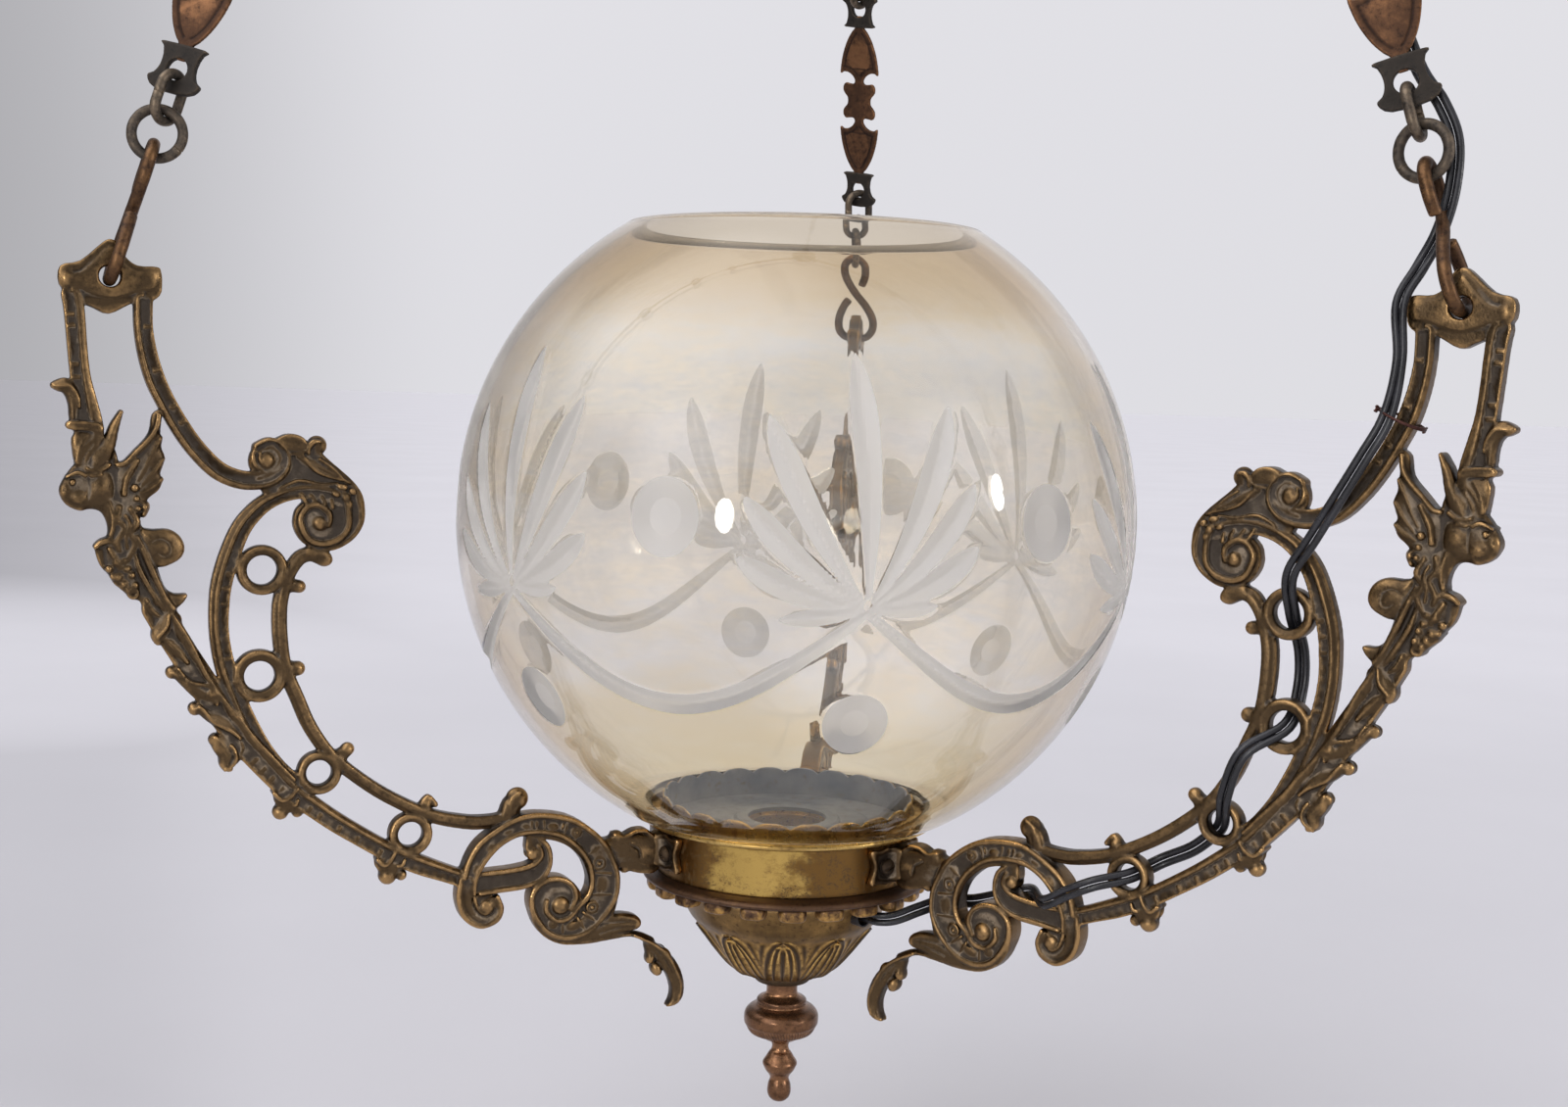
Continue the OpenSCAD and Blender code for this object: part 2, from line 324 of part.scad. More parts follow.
suspension_ring();
hang_link();
crown_loop();
crown_body();
crown_nut();
terminal_block();
hook(0);  // hook_left
hook(1);  // hook_right
hook(2);  // hook_rear
rings(0);  // rings_left
rings(1);  // rings_right
rings(2);  // rings_rear
ovals(0);  // ovals_left
ovals(1);  // ovals_right
ovals(2);  // ovals_rear
connectors(0);  // connectors_left
connectors(1);  // connectors_right
connectors(2);  // connectors_rear
plates(0);  // plates_left
plates(1);  // plates_right
plates(2);  // plates_rear
arm(0);  // arm_left
arm(1);  // arm_right
arm(2);  // arm_rear
arm_screws();
arm_nuts();
gallery_band();
gallery_ledge();
globe_seat();
cup_plate();
globe();
lampholder_flange();
lampholder_shell();
lamp_screw_shell();
lampholder_core();
lamp_contact();
lampholder_base();
tie_rod();
rod_nut();
bowl();
neck_washer();
finial();
lead_bush();
lead(1.22);  // lead_a
lead(-1.22);  // lead_b
lead_tie();
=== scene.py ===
import math
import bpy
import numpy as np
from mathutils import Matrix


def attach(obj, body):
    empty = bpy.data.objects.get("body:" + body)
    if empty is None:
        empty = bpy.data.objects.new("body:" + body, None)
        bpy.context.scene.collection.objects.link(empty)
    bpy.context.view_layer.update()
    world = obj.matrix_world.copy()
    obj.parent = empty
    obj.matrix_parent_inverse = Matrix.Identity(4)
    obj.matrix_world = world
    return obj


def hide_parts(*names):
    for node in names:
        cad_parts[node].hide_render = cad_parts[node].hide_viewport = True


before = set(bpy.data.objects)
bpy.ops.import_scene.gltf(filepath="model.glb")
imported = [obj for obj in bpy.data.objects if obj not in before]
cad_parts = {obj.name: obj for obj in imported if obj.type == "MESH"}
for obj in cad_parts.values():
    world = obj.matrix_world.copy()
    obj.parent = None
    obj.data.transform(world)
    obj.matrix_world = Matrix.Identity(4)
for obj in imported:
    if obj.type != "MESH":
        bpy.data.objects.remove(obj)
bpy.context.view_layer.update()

MM = 0.001
BZ = -900.0                      # height of the band's top edge, mm
AZ = {"left": 210.0, "right": 330.0, "rear": 90.0}


# ============================================================ small geometry kit
def catmull(P, k, closed=False):
    P = np.asarray(P, float)
    n = len(P)
    out = []
    m = n if closed else n - 1
    for i in range(m):
        if closed:
            a, b, c, d = P[(i - 1) % n], P[i], P[(i + 1) % n], P[(i + 2) % n]
        else:
            a, b, c, d = P[max(i - 1, 0)], P[i], P[i + 1], P[min(i + 2, n - 1)]
        for j in range(k):
            t = j / k
            out.append(0.5 * (2 * b + (c - a) * t + (2 * a - 5 * b + 4 * c - d) * t * t + (3 * b - a - 3 * c + d) * t ** 3))
    if not closed:
        out.append(P[-1])
    return np.array(out)


def rot_z(P, deg):
    a = math.radians(deg)
    P = np.asarray(P, float)
    return np.stack([P[:, 0] * math.cos(a) - P[:, 1] * math.sin(a), P[:, 0] * math.sin(a) + P[:, 1] * math.cos(a), P[:, 2]], 1)


def rot_y(P, deg):
    a = math.radians(deg)
    P = np.asarray(P, float)
    return np.stack([P[:, 0] * math.cos(a) + P[:, 2] * math.sin(a), P[:, 1], -P[:, 0] * math.sin(a) + P[:, 2] * math.cos(a)], 1)


def smoothed(V, E, n=10, f=0.5):
    """Positions after n umbrella steps over the edges E."""
    N = len(V)
    deg = np.bincount(E[:, 0], minlength=N) + np.bincount(E[:, 1], minlength=N)
    deg = np.maximum(deg, 1)[:, None]
    S = V.copy()
    for _ in range(n):
        acc = np.zeros_like(S)
        for c in range(3):
            acc[:, c] = np.bincount(E[:, 0], weights=S[E[:, 1], c], minlength=N) + np.bincount(E[:, 1], weights=S[E[:, 0], c], minlength=N)
        S = S + f * (acc / deg - S)
    return S


def mark_cavity(me, steps=10, scale=0.25):
    """Stores how far each point stands proud of (+) or sits below (-) its smoothed surface, in units of scale mm."""
    n = len(me.vertices)
    V = np.empty(n * 3)
    me.vertices.foreach_get("co", V)
    V = V.reshape(-1, 3) / MM
    E = np.empty(len(me.edges) * 2, np.int32)
    me.edges.foreach_get("vertices", E)
    E = E.reshape(-1, 2)
    Nn = np.empty(n * 3)
    me.vertex_normals.foreach_get("vector", Nn)
    Nn = Nn.reshape(-1, 3)
    S = smoothed(V, E, steps)
    c = np.einsum("ij,ij->i", V - S, Nn) / scale
    c = smoothed(np.stack([c, c, c], 1), E, 2)[:, 0]
    put_attr(me, "cav", np.clip(c, -1.5, 1.5))
    return V, Nn, c


def put_attr(me, name, values):
    a = me.attributes.get(name) or me.attributes.new(name, "FLOAT", "POINT")
    a.data.foreach_set("value", np.asarray(values, np.float32))


def make(name, V, F, mats, smooth=True, mat_index=None, cavity=(8, 0.2), collection=True):
    """V in mm, F a list of faces or an (n, 4) array."""
    me = bpy.data.meshes.new(name)
    V = np.asarray(V, float) * MM
    if isinstance(F, np.ndarray):
        k = F.shape[1]
        me.vertices.add(len(V))
        me.vertices.foreach_set("co", V.ravel())
        me.loops.add(F.size)
        me.loops.foreach_set("vertex_index", F.ravel().astype(np.int32))
        me.polygons.add(len(F))
        me.polygons.foreach_set("loop_start", np.arange(0, F.size, k, dtype=np.int32))
        me.update(calc_edges=True)
        me.validate()
    else:
        me.from_pydata([tuple(v) for v in V], [], F)
        me.validate()
    if smooth:
        me.polygons.foreach_set("use_smooth", np.ones(len(me.polygons), bool))
    if not isinstance(mats, (list, tuple)):
        mats = [mats]
    for m in mats:
        me.materials.append(m)
    if mat_index is not None:
        me.polygons.foreach_set("material_index", np.asarray(mat_index, np.int32))
    me.update()
    ob = bpy.data.objects.new(name, me)
    bpy.context.scene.collection.objects.link(ob)
    if cavity:
        mark_cavity(me, *cavity)
    return ob


def join_data(parts):
    """parts is [(V, F list)] -> one V and F list."""
    VV, FF, off = [], [], 0
    for V, F in parts:
        VV.append(np.asarray(V, float))
        FF += [tuple(int(i) + off for i in f) for f in F]
        off += len(V)
    return np.concatenate(VV), FF


def sweep(P, r, n=16, closed=False, up=(0, 0, 1), caps=True, squash=None):
    """A tube along P (mm). r is a number or one radius per point."""
    P = np.asarray(P, float)
    m = len(P)
    r = np.broadcast_to(np.asarray(r, float), (m,))
    if closed:
        T = np.roll(P, -1, 0) - np.roll(P, 1, 0)
    else:
        T = np.empty_like(P)
        T[1:-1] = P[2:] - P[:-2]
        T[0] = P[1] - P[0]
        T[-1] = P[-1] - P[-2]
    T /= np.linalg.norm(T, axis=1)[:, None]
    prev = np.array(up, float)
    if abs(T[0] @ prev) > 0.9:
        prev = np.array([1.0, 0, 0])
    N = []
    for i in range(m):
        v = prev - T[i] * (prev @ T[i])
        v /= np.linalg.norm(v)
        N.append(v)
        prev = v
    N = np.array(N)
    B = np.cross(T, N)
    if closed:
        # spread the closing twist
        a = math.atan2(N[0] @ (B[-1]), N[0] @ (N[-1]))
        k = np.arange(m) / m * a
        N, B = N * np.cos(k)[:, None] + B * np.sin(k)[:, None], B * np.cos(k)[:, None] - N * np.sin(k)[:, None]
    ang = np.arange(n) * 2 * math.pi / n
    c, s = np.cos(ang), np.sin(ang)
    V = P[:, None] + r[:, None, None] * (c[None, :, None] * N[:, None] + s[None, :, None] * B[:, None])
    V = V.reshape(-1, 3)
    F = []
    mm = m if closed else m - 1
    for i in range(mm):
        j = (i + 1) % m
        for k in range(n):
            q = (k + 1) % n
            F.append((i * n + k, i * n + q, j * n + q, j * n + k))
    if not closed and caps:
        # slightly rounded ends
        extra, base = [], len(V)
        for e, sgn in ((0, -1), (m - 1, 1)):
            ring = P[e] + T[e] * sgn * r[e] * 0.16 + (V[e * n:(e + 1) * n] - P[e]) * 0.82
            extra.append(ring)
        V = np.concatenate([V] + extra)
        for q, e in enumerate((0, m - 1)):
            o = base + q * n
            for k in range(n):
                l = (k + 1) % n
                a, b = e * n + k, e * n + l
                F.append((a, o + k, o + l, b) if e == 0 else (a, b, o + l, o + k))
            F.append(tuple(o + k for k in (range(n - 1, -1, -1) if e == 0 else range(n))))
            if e == 0:
                F[-1] = tuple(o + k for k in range(n))[::-1]
    return V, F


def revolve(profile, n=128, closed=False, disp=None):
    """profile [(R, z)], mm above the band's top edge; turned around Z. disp(az, R, z) -> (dR, dz)."""
    P = np.asarray(profile, float)
    m = len(P)
    az = np.arange(n) * 2 * math.pi / n
    R = np.repeat(P[:, 0][:, None], n, 1)
    Z = np.repeat(P[:, 1][:, None], n, 1)
    A = np.repeat(az[None], m, 0)
    if disp is not None:
        dR, dZ = disp(A, R, Z)
        R, Z = R + dR, Z + dZ
    V = np.stack([R * np.cos(A), R * np.sin(A), Z + BZ], 2).reshape(-1, 3)
    i, j = np.meshgrid(np.arange(m if closed else m - 1), np.arange(n), indexing="ij")
    i2, j2 = (i + 1) % m, (j + 1) % n
    F = np.stack([i * n + j, i * n + j2, i2 * n + j2, i2 * n + j], -1).reshape(-1, 4)
    return V, F


def refine(profile, step=0.4, round_r=0.0, closed=False):
    """Splits a polyline into steps of at most step, after rounding its corners by round_r."""
    P = [np.array(p, float) for p in profile]
    n = len(P)
    out = []
    for i in range(n):
        a, b, c = P[i - 1], P[i], P[(i + 1) % n]
        if round_r <= 0 or (not closed and i in (0, n - 1)):
            out.append(b)
            continue
        la, lc = np.linalg.norm(a - b), np.linalg.norm(c - b)
        d = min(round_r, la * 0.45, lc * 0.45)
        p0, p1 = b + (a - b) / la * d, b + (c - b) / lc * d
        for t in (0, 0.25, 0.5, 0.75, 1):
            out.append((1 - t) ** 2 * p0 + 2 * t * (1 - t) * b + t * t * p1)
    res = []
    m = len(out) if closed else len(out) - 1
    for i in range(m):
        a, b = out[i], out[(i + 1) % len(out)]
        k = max(1, int(math.ceil(np.linalg.norm(b - a) / step)))
        for j in range(k):
            res.append(a + (b - a) * j / k)
    if not closed:
        res.append(out[-1])
    return np.array(res)


# ============================================================ solids from distance fields
def smin(a, b, k):
    h = np.maximum(k - np.abs(a - b), 0) / k
    return np.minimum(a, b) - h * h * k * 0.25


def smax(a, b, k):
    return -smin(-a, -b, k)


def sstep(a, b, x):
    t = np.clip((x - a) / (b - a), 0, 1)
    return t * t * (3 - 2 * t)


def along_path(X, Z, path):
    """Nearest point of the polyline path [(x, z, w)] for each grid point: distance, signed side, arc length, half width."""
    P = path[:, :2]
    W = path[:, 2]
    best = np.full(X.shape, 1e9)
    V = np.zeros(X.shape)
    Tt = np.zeros(X.shape)
    Ww = np.zeros(X.shape)
    s = 0.0
    for i in range(len(P) - 1):
        ax, az = P[i]
        dx, dz = P[i + 1] - P[i]
        L = math.hypot(dx, dz)
        if L < 1e-9:
            continue
        t = np.clip(((X - ax) * dx + (Z - az) * dz) / (L * L), 0, 1)
        ex, ez = X - ax - t * dx, Z - az - t * dz
        w = W[i] + t * (W[i + 1] - W[i])
        d = np.hypot(ex, ez)
        q = d - w
        m = q < best
        best = np.where(m, q, best)
        side = np.where(dx * ez - dz * ex >= 0, 1.0, -1.0)
        V = np.where(m, side * d, V)
        Tt = np.where(m, s + t * L, Tt)
        Ww = np.where(m, w, Ww)
        s += L
    return np.abs(V), V, Tt, Ww


class Relief:
    """A solid symmetric about y = 0, on a grid in x, z and y >= 0 (mm)."""

    def __init__(self, x0, x1, z0, z1, ymax, h):
        self.h = h
        self.x = np.arange(x0, x1 + h, h)
        self.z = np.arange(z0, z1 + h, h)
        self.y = np.arange(0, ymax + h, h)
        self.F = np.full((len(self.x), len(self.y), len(self.z)), 3.0, np.float32)

    def win(self, xa, xb, za, zb):
        i0 = max(0, np.searchsorted(self.x, xa) - 1)
        i1 = min(len(self.x), np.searchsorted(self.x, xb) + 1)
        k0 = max(0, np.searchsorted(self.z, za) - 1)
        k1 = min(len(self.z), np.searchsorted(self.z, zb) + 1)
        X, Z = np.meshgrid(self.x[i0:i1], self.z[k0:k1], indexing="ij")
        return (slice(i0, i1), slice(k0, k1)), X, Z

    def _merge(self, w, G, k, cut=False):
        a = self.F[w[0], :, w[1]]
        self.F[w[0], :, w[1]] = smax(a, -G, k) if cut else smin(a, G, k)

    def _slab(self, w, d2, H, k_edge, k, cut=False):
        Y = self.y[None, :, None]
        G = smax(d2[:, None, :], Y - H[:, None, :], k_edge)
        self._merge(w, G, k, cut)

    def ribbon(self, pts, hfun, k_edge=0.9, k=0.5, sub=4):
        path = catmull(pts, sub) if sub > 1 else np.asarray(pts, float)
        mw = path[:, 2].max() + 2.5
        w, X, Z = self.win(path[:, 0].min() - mw, path[:, 0].max() + mw, path[:, 1].min() - mw, path[:, 1].max() + mw)
        d, v, t, ww = along_path(X, Z, path)
        H = hfun(v, t, ww) if callable(hfun) else np.full(X.shape, float(hfun))
        self._slab(w, d - ww, H, k_edge, k)

    def bead(self, pts, y0=3.4, k=0.5, sub=4, cut=False, flat=1.0):
        """A round bar of radius pts[:,2] along the path at height y0, on both faces."""
        path = catmull(pts, sub) if sub > 1 else np.asarray(pts, float)
        mw = path[:, 2].max() + 2.5
        w, X, Z = self.win(path[:, 0].min() - mw, path[:, 0].max() + mw, path[:, 1].min() - mw, path[:, 1].max() + mw)
        d, v, t, ww = along_path(X, Z, path)
        Y = (self.y[None, :, None] - y0) / flat
        if not cut:
            Y = np.maximum(Y, 0)
        G = (np.sqrt(d[:, None, :] ** 2 + Y ** 2) - ww[:, None, :])
        self._merge(w, G, k, cut)

    def rod(self, pts, h, k=0.6, sub=4, power=2.0):
        path = catmull(pts, sub) if sub > 1 else np.asarray(pts, float)
        mw = path[:, 2].max() + 2.5
        w, X, Z = self.win(path[:, 0].min() - mw, path[:, 0].max() + mw, path[:, 1].min() - mw, path[:, 1].max() + mw)
        d, v, t, ww = along_path(X, Z, path)
        Y = self.y[None, :, None]
        q = ((d / ww)[:, None, :] ** power + (Y / h) ** power) ** (1 / power)
        G = (q - 1) * np.minimum(ww, h)[:, None, :]
        self._merge(w, G, k)

    def ring(self, cx, cz, r0, r1, h, k=0.7, power=2.4):
        w, X, Z = self.win(cx - r1 - 2, cx + r1 + 2, cz - r1 - 2, cz + r1 + 2)
        d = np.abs(np.hypot(X - cx, Z - cz) - (r0 + r1) / 2)
        wd = (r1 - r0) / 2
        Y = self.y[None, :, None]
        G = (((d / wd)[:, None, :] ** power + (Y / h) ** power) ** (1 / power) - 1) * min(wd, h)
        self._merge(w, G, k)

    def ball(self, cx, cz, r, y0=0.0, k=0.5, cut=False, sy=1.0):
        w, X, Z = self.win(cx - r - 2, cx + r + 2, cz - r - 2, cz + r + 2)
        Y = (self.y[None, :, None] - y0) / sy
        G = np.sqrt(((X - cx) ** 2 + (Z - cz) ** 2)[:, None, :] + Y ** 2) - r
        self._merge(w, G, k, cut)

    def egg(self, cx, cz, a, b, ang, y0, hy, k=0.7, cut=False):
        """An ellipsoid with half axes a, b in the plane, turned by ang degrees, hy across."""
        R = max(a, b)
        w, X, Z = self.win(cx - R - 2, cx + R + 2, cz - R - 2, cz + R + 2)
        c, s = math.cos(math.radians(ang)), math.sin(math.radians(ang))
        U, W = (X - cx) * c + (Z - cz) * s, -(X - cx) * s + (Z - cz) * c
        Y = self.y[None, :, None] - y0
        q = np.sqrt(((U / a) ** 2 + (W / b) ** 2)[:, None, :] + (Y / hy) ** 2)
        G = (q - 1) * min(a, b, hy)
        self._merge(w, G, k, cut)

    def poly(self, pts, h, k_edge=1.0, k=0.5, cut=False, sub=3):
        P = catmull(pts, sub, closed=True) if sub > 1 else np.asarray(pts, float)
        w, X, Z = self.win(P[:, 0].min() - 3, P[:, 0].max() + 3, P[:, 1].min() - 3, P[:, 1].max() + 3)
        d = np.full(X.shape, 1e9)
        ins = np.zeros(X.shape, bool)
        n = len(P)
        for i in range(n):
            ax, az = P[i]
            bx, bz = P[(i + 1) % n]
            dx, dz = bx - ax, bz - az
            L = dx * dx + dz * dz
            if L < 1e-9:
                continue
            t = np.clip(((X - ax) * dx + (Z - az) * dz) / L, 0, 1)
            d = np.minimum(d, np.hypot(X - ax - t * dx, Z - az - t * dz))
            c = ((az > Z) != (bz > Z)) & (X < (bx - ax) * (Z - az) / (bz - az + 1e-12) + ax)
            ins ^= c
        d2 = np.where(ins, -d, d)
        H = np.full(X.shape, float(h)) if not callable(h) else h(d2, X, Z)
        self._slab(w, d2, H, k_edge, k, cut)

    def lobe(self, pts, top, edge=1.8, k=0.5, power=2.0, sub=4):
        """A strip domed across: edge high at its sides, top in the middle; power 1 gives a roof, 2 a round back."""
        def f(v, t, w):
            u = np.clip(np.abs(v) / np.maximum(w, 0.3), 0, 1)
            return edge + (top - edge) * (1 - u ** power) ** (1 / power)
        self.ribbon(pts, f, 0.6, k, sub)

    def dome(self, pts, top, edge, inset, k_edge=0.7, k=0.5):
        """An outlined lobe: edge high along its outline, rounding up to top within inset of it."""
        def h(d2, X, Z):
            q = np.clip(-d2 / inset, 0, 1)
            return edge + (top - edge) * np.sqrt(1 - (1 - q) ** 2)
        self.poly(pts, h, k_edge, k)

    def drill(self, cx, cz, r, k=0.6):
        w, X, Z = self.win(cx - r - 3, cx + r + 3, cz - r - 3, cz + r + 3)
        G = (np.hypot(X - cx, Z - cz) - r)[:, None, :] + 0 * self.y[None, :, None]
        self._merge(w, G, k, cut=True)

    def mesh(self):
        F = np.concatenate([self.F[:, :0:-1], self.F], 1)
        return surface_nets(F, (self.x[0], -self.y[-1], self.z[0]), self.h)


def surface_nets(F, origin, h):
    F = F.astype(np.float32).copy()
    F[0], F[-1] = 1, 1
    F[:, 0], F[:, -1] = 1, 1
    F[:, :, 0], F[:, :, -1] = 1, 1
    ins = F < 0
    nx, ny, nz = F.shape
    c = [ins[i:nx - 1 + i, j:ny - 1 + j, k:nz - 1 + k] for i in (0, 1) for j in (0, 1) for k in (0, 1)]
    any_, all_ = c[0].copy(), c[0].copy()
    for q in c[1:]:
        any_ |= q
        all_ &= q
    mask = any_ & ~all_
    ii, jj, kk = np.nonzero(mask)
    idx = np.full(mask.shape, -1, np.int32)
    idx[mask] = np.arange(len(ii), dtype=np.int32)
    pos = np.zeros((len(ii), 3))
    cnt = np.zeros(len(ii))
    corners = [(i, j, k) for i in (0, 1) for j in (0, 1) for k in (0, 1)]
    val = {q: F[ii + q[0], jj + q[1], kk + q[2]] for q in corners}
    for a in corners:
        for ax in range(3):
            if a[ax]:
                continue
            b = list(a)
            b[ax] = 1
            fa, fb = val[a], val[tuple(b)]
            m = (fa < 0) != (fb < 0)
            t = np.where(m, fa / np.where(fa == fb, 1, fa - fb), 0)
            for q in range(3):
                pos[:, q] += np.where(m, a[q] + (t if q == ax else 0), 0)
            cnt += m
    pos /= cnt[:, None]
    V = (np.stack([ii, jj, kk], 1) + pos) * h + np.array(origin)
    faces = []
    for ax in range(3):
        sl0 = [slice(None)] * 3
        sl1 = [slice(None)] * 3
        sl0[ax], sl1[ax] = slice(0, -1), slice(1, None)
        a, b = ins[tuple(sl0)], ins[tuple(sl1)]
        e = a != b
        o1, o2 = [q for q in range(3) if q != ax]
        rng = [slice(None)] * 3
        rng[o1] = slice(1, -1)
        rng[o2] = slice(1, -1)
        e2 = e[tuple(rng)]
        p = np.nonzero(e2)
        base = np.stack(p, 1)
        base[:, o1] += 1
        base[:, o2] += 1
        fl = a[tuple(base.T)]
        def cell(d1, d2):
            q = base.copy()
            q[:, o1] -= d1
            q[:, o2] -= d2
            return idx[tuple(q.T)]
        quad = np.stack([cell(1, 1), cell(0, 1), cell(0, 0), cell(1, 0)], 1)
        if ax == 1:
            fl = ~fl
        quad[~fl] = quad[~fl][:, ::-1]
        faces.append(quad)
    return V, np.concatenate(faces)


def decimate(ob, faces):
    n = sum(max(1, len(p.vertices) - 2) for p in ob.data.polygons)
    if n <= faces:
        return
    m = ob.modifiers.new("dec", "DECIMATE")
    m.ratio = faces / n
    m.use_collapse_triangulate = True
    apply_mods(ob)


def apply_mods(ob):
    dg = bpy.context.evaluated_depsgraph_get()
    me = bpy.data.meshes.new_from_object(ob.evaluated_get(dg), depsgraph=dg)
    old = ob.data
    ob.modifiers.clear()
    ob.data = me
    bpy.data.meshes.remove(old)
    me.polygons.foreach_set("use_smooth", np.ones(len(me.polygons), bool))
    me.update()


# ============================================================ materials
class Mat:
    def __init__(self, name):
        self.m = bpy.data.materials.new(name)
        self.m.use_nodes = True
        self.t = self.m.node_tree
        self.t.nodes.clear()
        self.out = self.t.nodes.new("ShaderNodeOutputMaterial")
        self.b = self.t.nodes.new("ShaderNodeBsdfPrincipled")
        self.t.links.new(self.b.outputs[0], self.out.inputs[0])
        self.tc = self.t.nodes.new("ShaderNodeTexCoord").outputs["Object"]

    def link(self, a, b):
        self.t.links.new(a, b)

    def put(self, sock, v):
        if isinstance(v, bpy.types.NodeSocket):
            self.link(v, sock)
        elif v is not None:
            sock.default_value = v

    def noise(self, scale, detail=4, rough=0.55, vec=None, dist=0.0, out="Fac"):
        n = self.t.nodes.new("ShaderNodeTexNoise")
        n.inputs["Scale"].default_value = scale
        n.inputs["Detail"].default_value = detail
        n.inputs["Roughness"].default_value = rough
        n.inputs["Distortion"].default_value = dist
        self.link(vec if vec is not None else self.tc, n.inputs["Vector"])
        return n.outputs[out]

    def voronoi(self, scale, vec=None, out="Distance", rnd=1.0):
        n = self.t.nodes.new("ShaderNodeTexVoronoi")
        n.inputs["Scale"].default_value = scale
        n.inputs["Randomness"].default_value = rnd
        self.link(vec if vec is not None else self.tc, n.inputs["Vector"])
        return n.outputs[out]

    def scaled(self, sx, sy, sz):
        n = self.t.nodes.new("ShaderNodeMapping")
        n.inputs["Scale"].default_value = (sx, sy, sz)
        self.link(self.tc, n.inputs["Vector"])
        return n.outputs[0]

    def math(self, op, a, b=0.0, c=None, clamp=False):
        n = self.t.nodes.new("ShaderNodeMath")
        n.operation = op
        n.use_clamp = clamp
        self.put(n.inputs[0], a)
        self.put(n.inputs[1], b)
        if c is not None:
            self.put(n.inputs[2], c)
        return n.outputs[0]

    def range(self, v, a, b, c=0.0, d=1.0, smooth=True):
        n = self.t.nodes.new("ShaderNodeMapRange")
        n.interpolation_type = "SMOOTHSTEP" if smooth else "LINEAR"
        self.put(n.inputs[0], v)
        for i, q in enumerate((a, b, c, d)):
            n.inputs[i + 1].default_value = q
        return n.outputs[0]

    def mix(self, f, a, b):
        n = self.t.nodes.new("ShaderNodeMix")
        n.data_type = "RGBA"
        self.put(n.inputs[0], f)
        for s, v in ((n.inputs[6], a), (n.inputs[7], b)):
            if isinstance(v, (tuple, list)):
                s.default_value = (*v[:3], 1)
            else:
                self.link(v, s)
        return n.outputs[2]

    def attr(self, name):
        n = self.t.nodes.new("ShaderNodeAttribute")
        n.attribute_name = name
        return n.outputs["Fac"]

    def bump(self, h, strength=0.3, dist=0.0003, normal=None):
        n = self.t.nodes.new("ShaderNodeBump")
        n.inputs["Strength"].default_value = strength
        n.inputs["Distance"].default_value = dist
        self.link(h, n.inputs["Height"])
        if normal is not None:
            self.link(normal, n.inputs["Normal"])
        return n.outputs[0]

    def xyz(self, vec=None):
        n = self.t.nodes.new("ShaderNodeSeparateXYZ")
        self.link(vec if vec is not None else self.tc, n.inputs[0])
        return n.outputs

    def set(self, **kw):
        names = {"color": "Base Color", "metal": "Metallic", "rough": "Roughness", "normal": "Normal", "ior": "IOR",
                 "trans": "Transmission Weight", "coat": "Coat Weight", "coat_rough": "Coat Roughness", "spec": "Specular IOR Level", "alpha": "Alpha"}
        for k, v in kw.items():
            s = self.b.inputs[names[k]]
            if isinstance(v, (tuple, list)):
                v = (*v[:3], 1)
            self.put(s, v)
        return self.m


def aged_metal(name, dark, mid, gold, wear=0.0, rough=(0.58, 0.30), metal=(0.78, 1.0), side=0.0, grain=0.35, patch=0.5, cav=True, dirt=None, zone=None):
    """Brass with brown patina: dark in the hollows, as patina and painted shade, rubbed bright on what stands proud."""
    m = Mat(name)
    n1, n2, n3 = m.noise(38, 5, 0.6), m.noise(210, 5, 0.6), m.noise(900, 3, 0.6)
    c = m.attr("cav") if cav else m.math("MULTIPLY", m.noise(60, 3), 0.0)
    # patina against brown metal; the hollows are darkened as patina and painted shade
    a = m.math("MULTIPLY_ADD", n1, patch, m.math("MULTIPLY_ADD", n2, 0.55, -0.52 - (patch - 0.5) / 2))
    a = m.math("ADD", a, m.math("MULTIPLY", c, 0.55))
    f1 = m.range(a, -0.42, 0.36)
    base = m.mix(f1, dark, mid)
    if dirt is not None:
        base = m.mix(m.range(m.math("MULTIPLY_ADD", n3, 0.5, m.math("MULTIPLY", n1, 0.6)), 0.62, 0.78, 0.0, 0.55), base, dirt)
    w = m.math("ADD", m.math("MULTIPLY", c, 0.75), m.math("MULTIPLY_ADD", n2, 0.75, -0.48 + wear))
    w = m.math("ADD", w, m.math("MULTIPLY_ADD", n1, 0.6, -0.30))
    if side:
        # flat walls of the casting stay dull, the faces are rubbed
        s = m.attr("face")
        w = m.math("ADD", w, m.math("MULTIPLY_ADD", s, side, -side * 0.72))
    if zone is not None:
        w = m.math("ADD", w, m.range(m.xyz()[2], zone[0], zone[1], 0.0, zone[2]))
    n4 = m.noise(520, 4, 0.7)
    w = m.math("ADD", w, m.math("MULTIPLY_ADD", n4, 1.3, -0.68))
    base = m.mix(m.range(n4, 0.47, 0.33, 0.0, 0.6), base, tuple(0.45 * q for q in dark))
    f2 = m.range(w, 0.06, 1.05)
    col = m.mix(f2, base, gold)
    m.set(color=col,
          metal=m.range(f2, 0, 1, metal[0], metal[1], False),
          rough=m.math("ADD", m.range(f2, 0, 1, rough[0], rough[1], False), m.math("MULTIPLY_ADD", n4, 0.30, -0.15)),
          normal=m.bump(m.math("MULTIPLY_ADD", n3, 0.6, m.math("MULTIPLY", n2, 0.8)), grain, 0.00022))
    return m.m


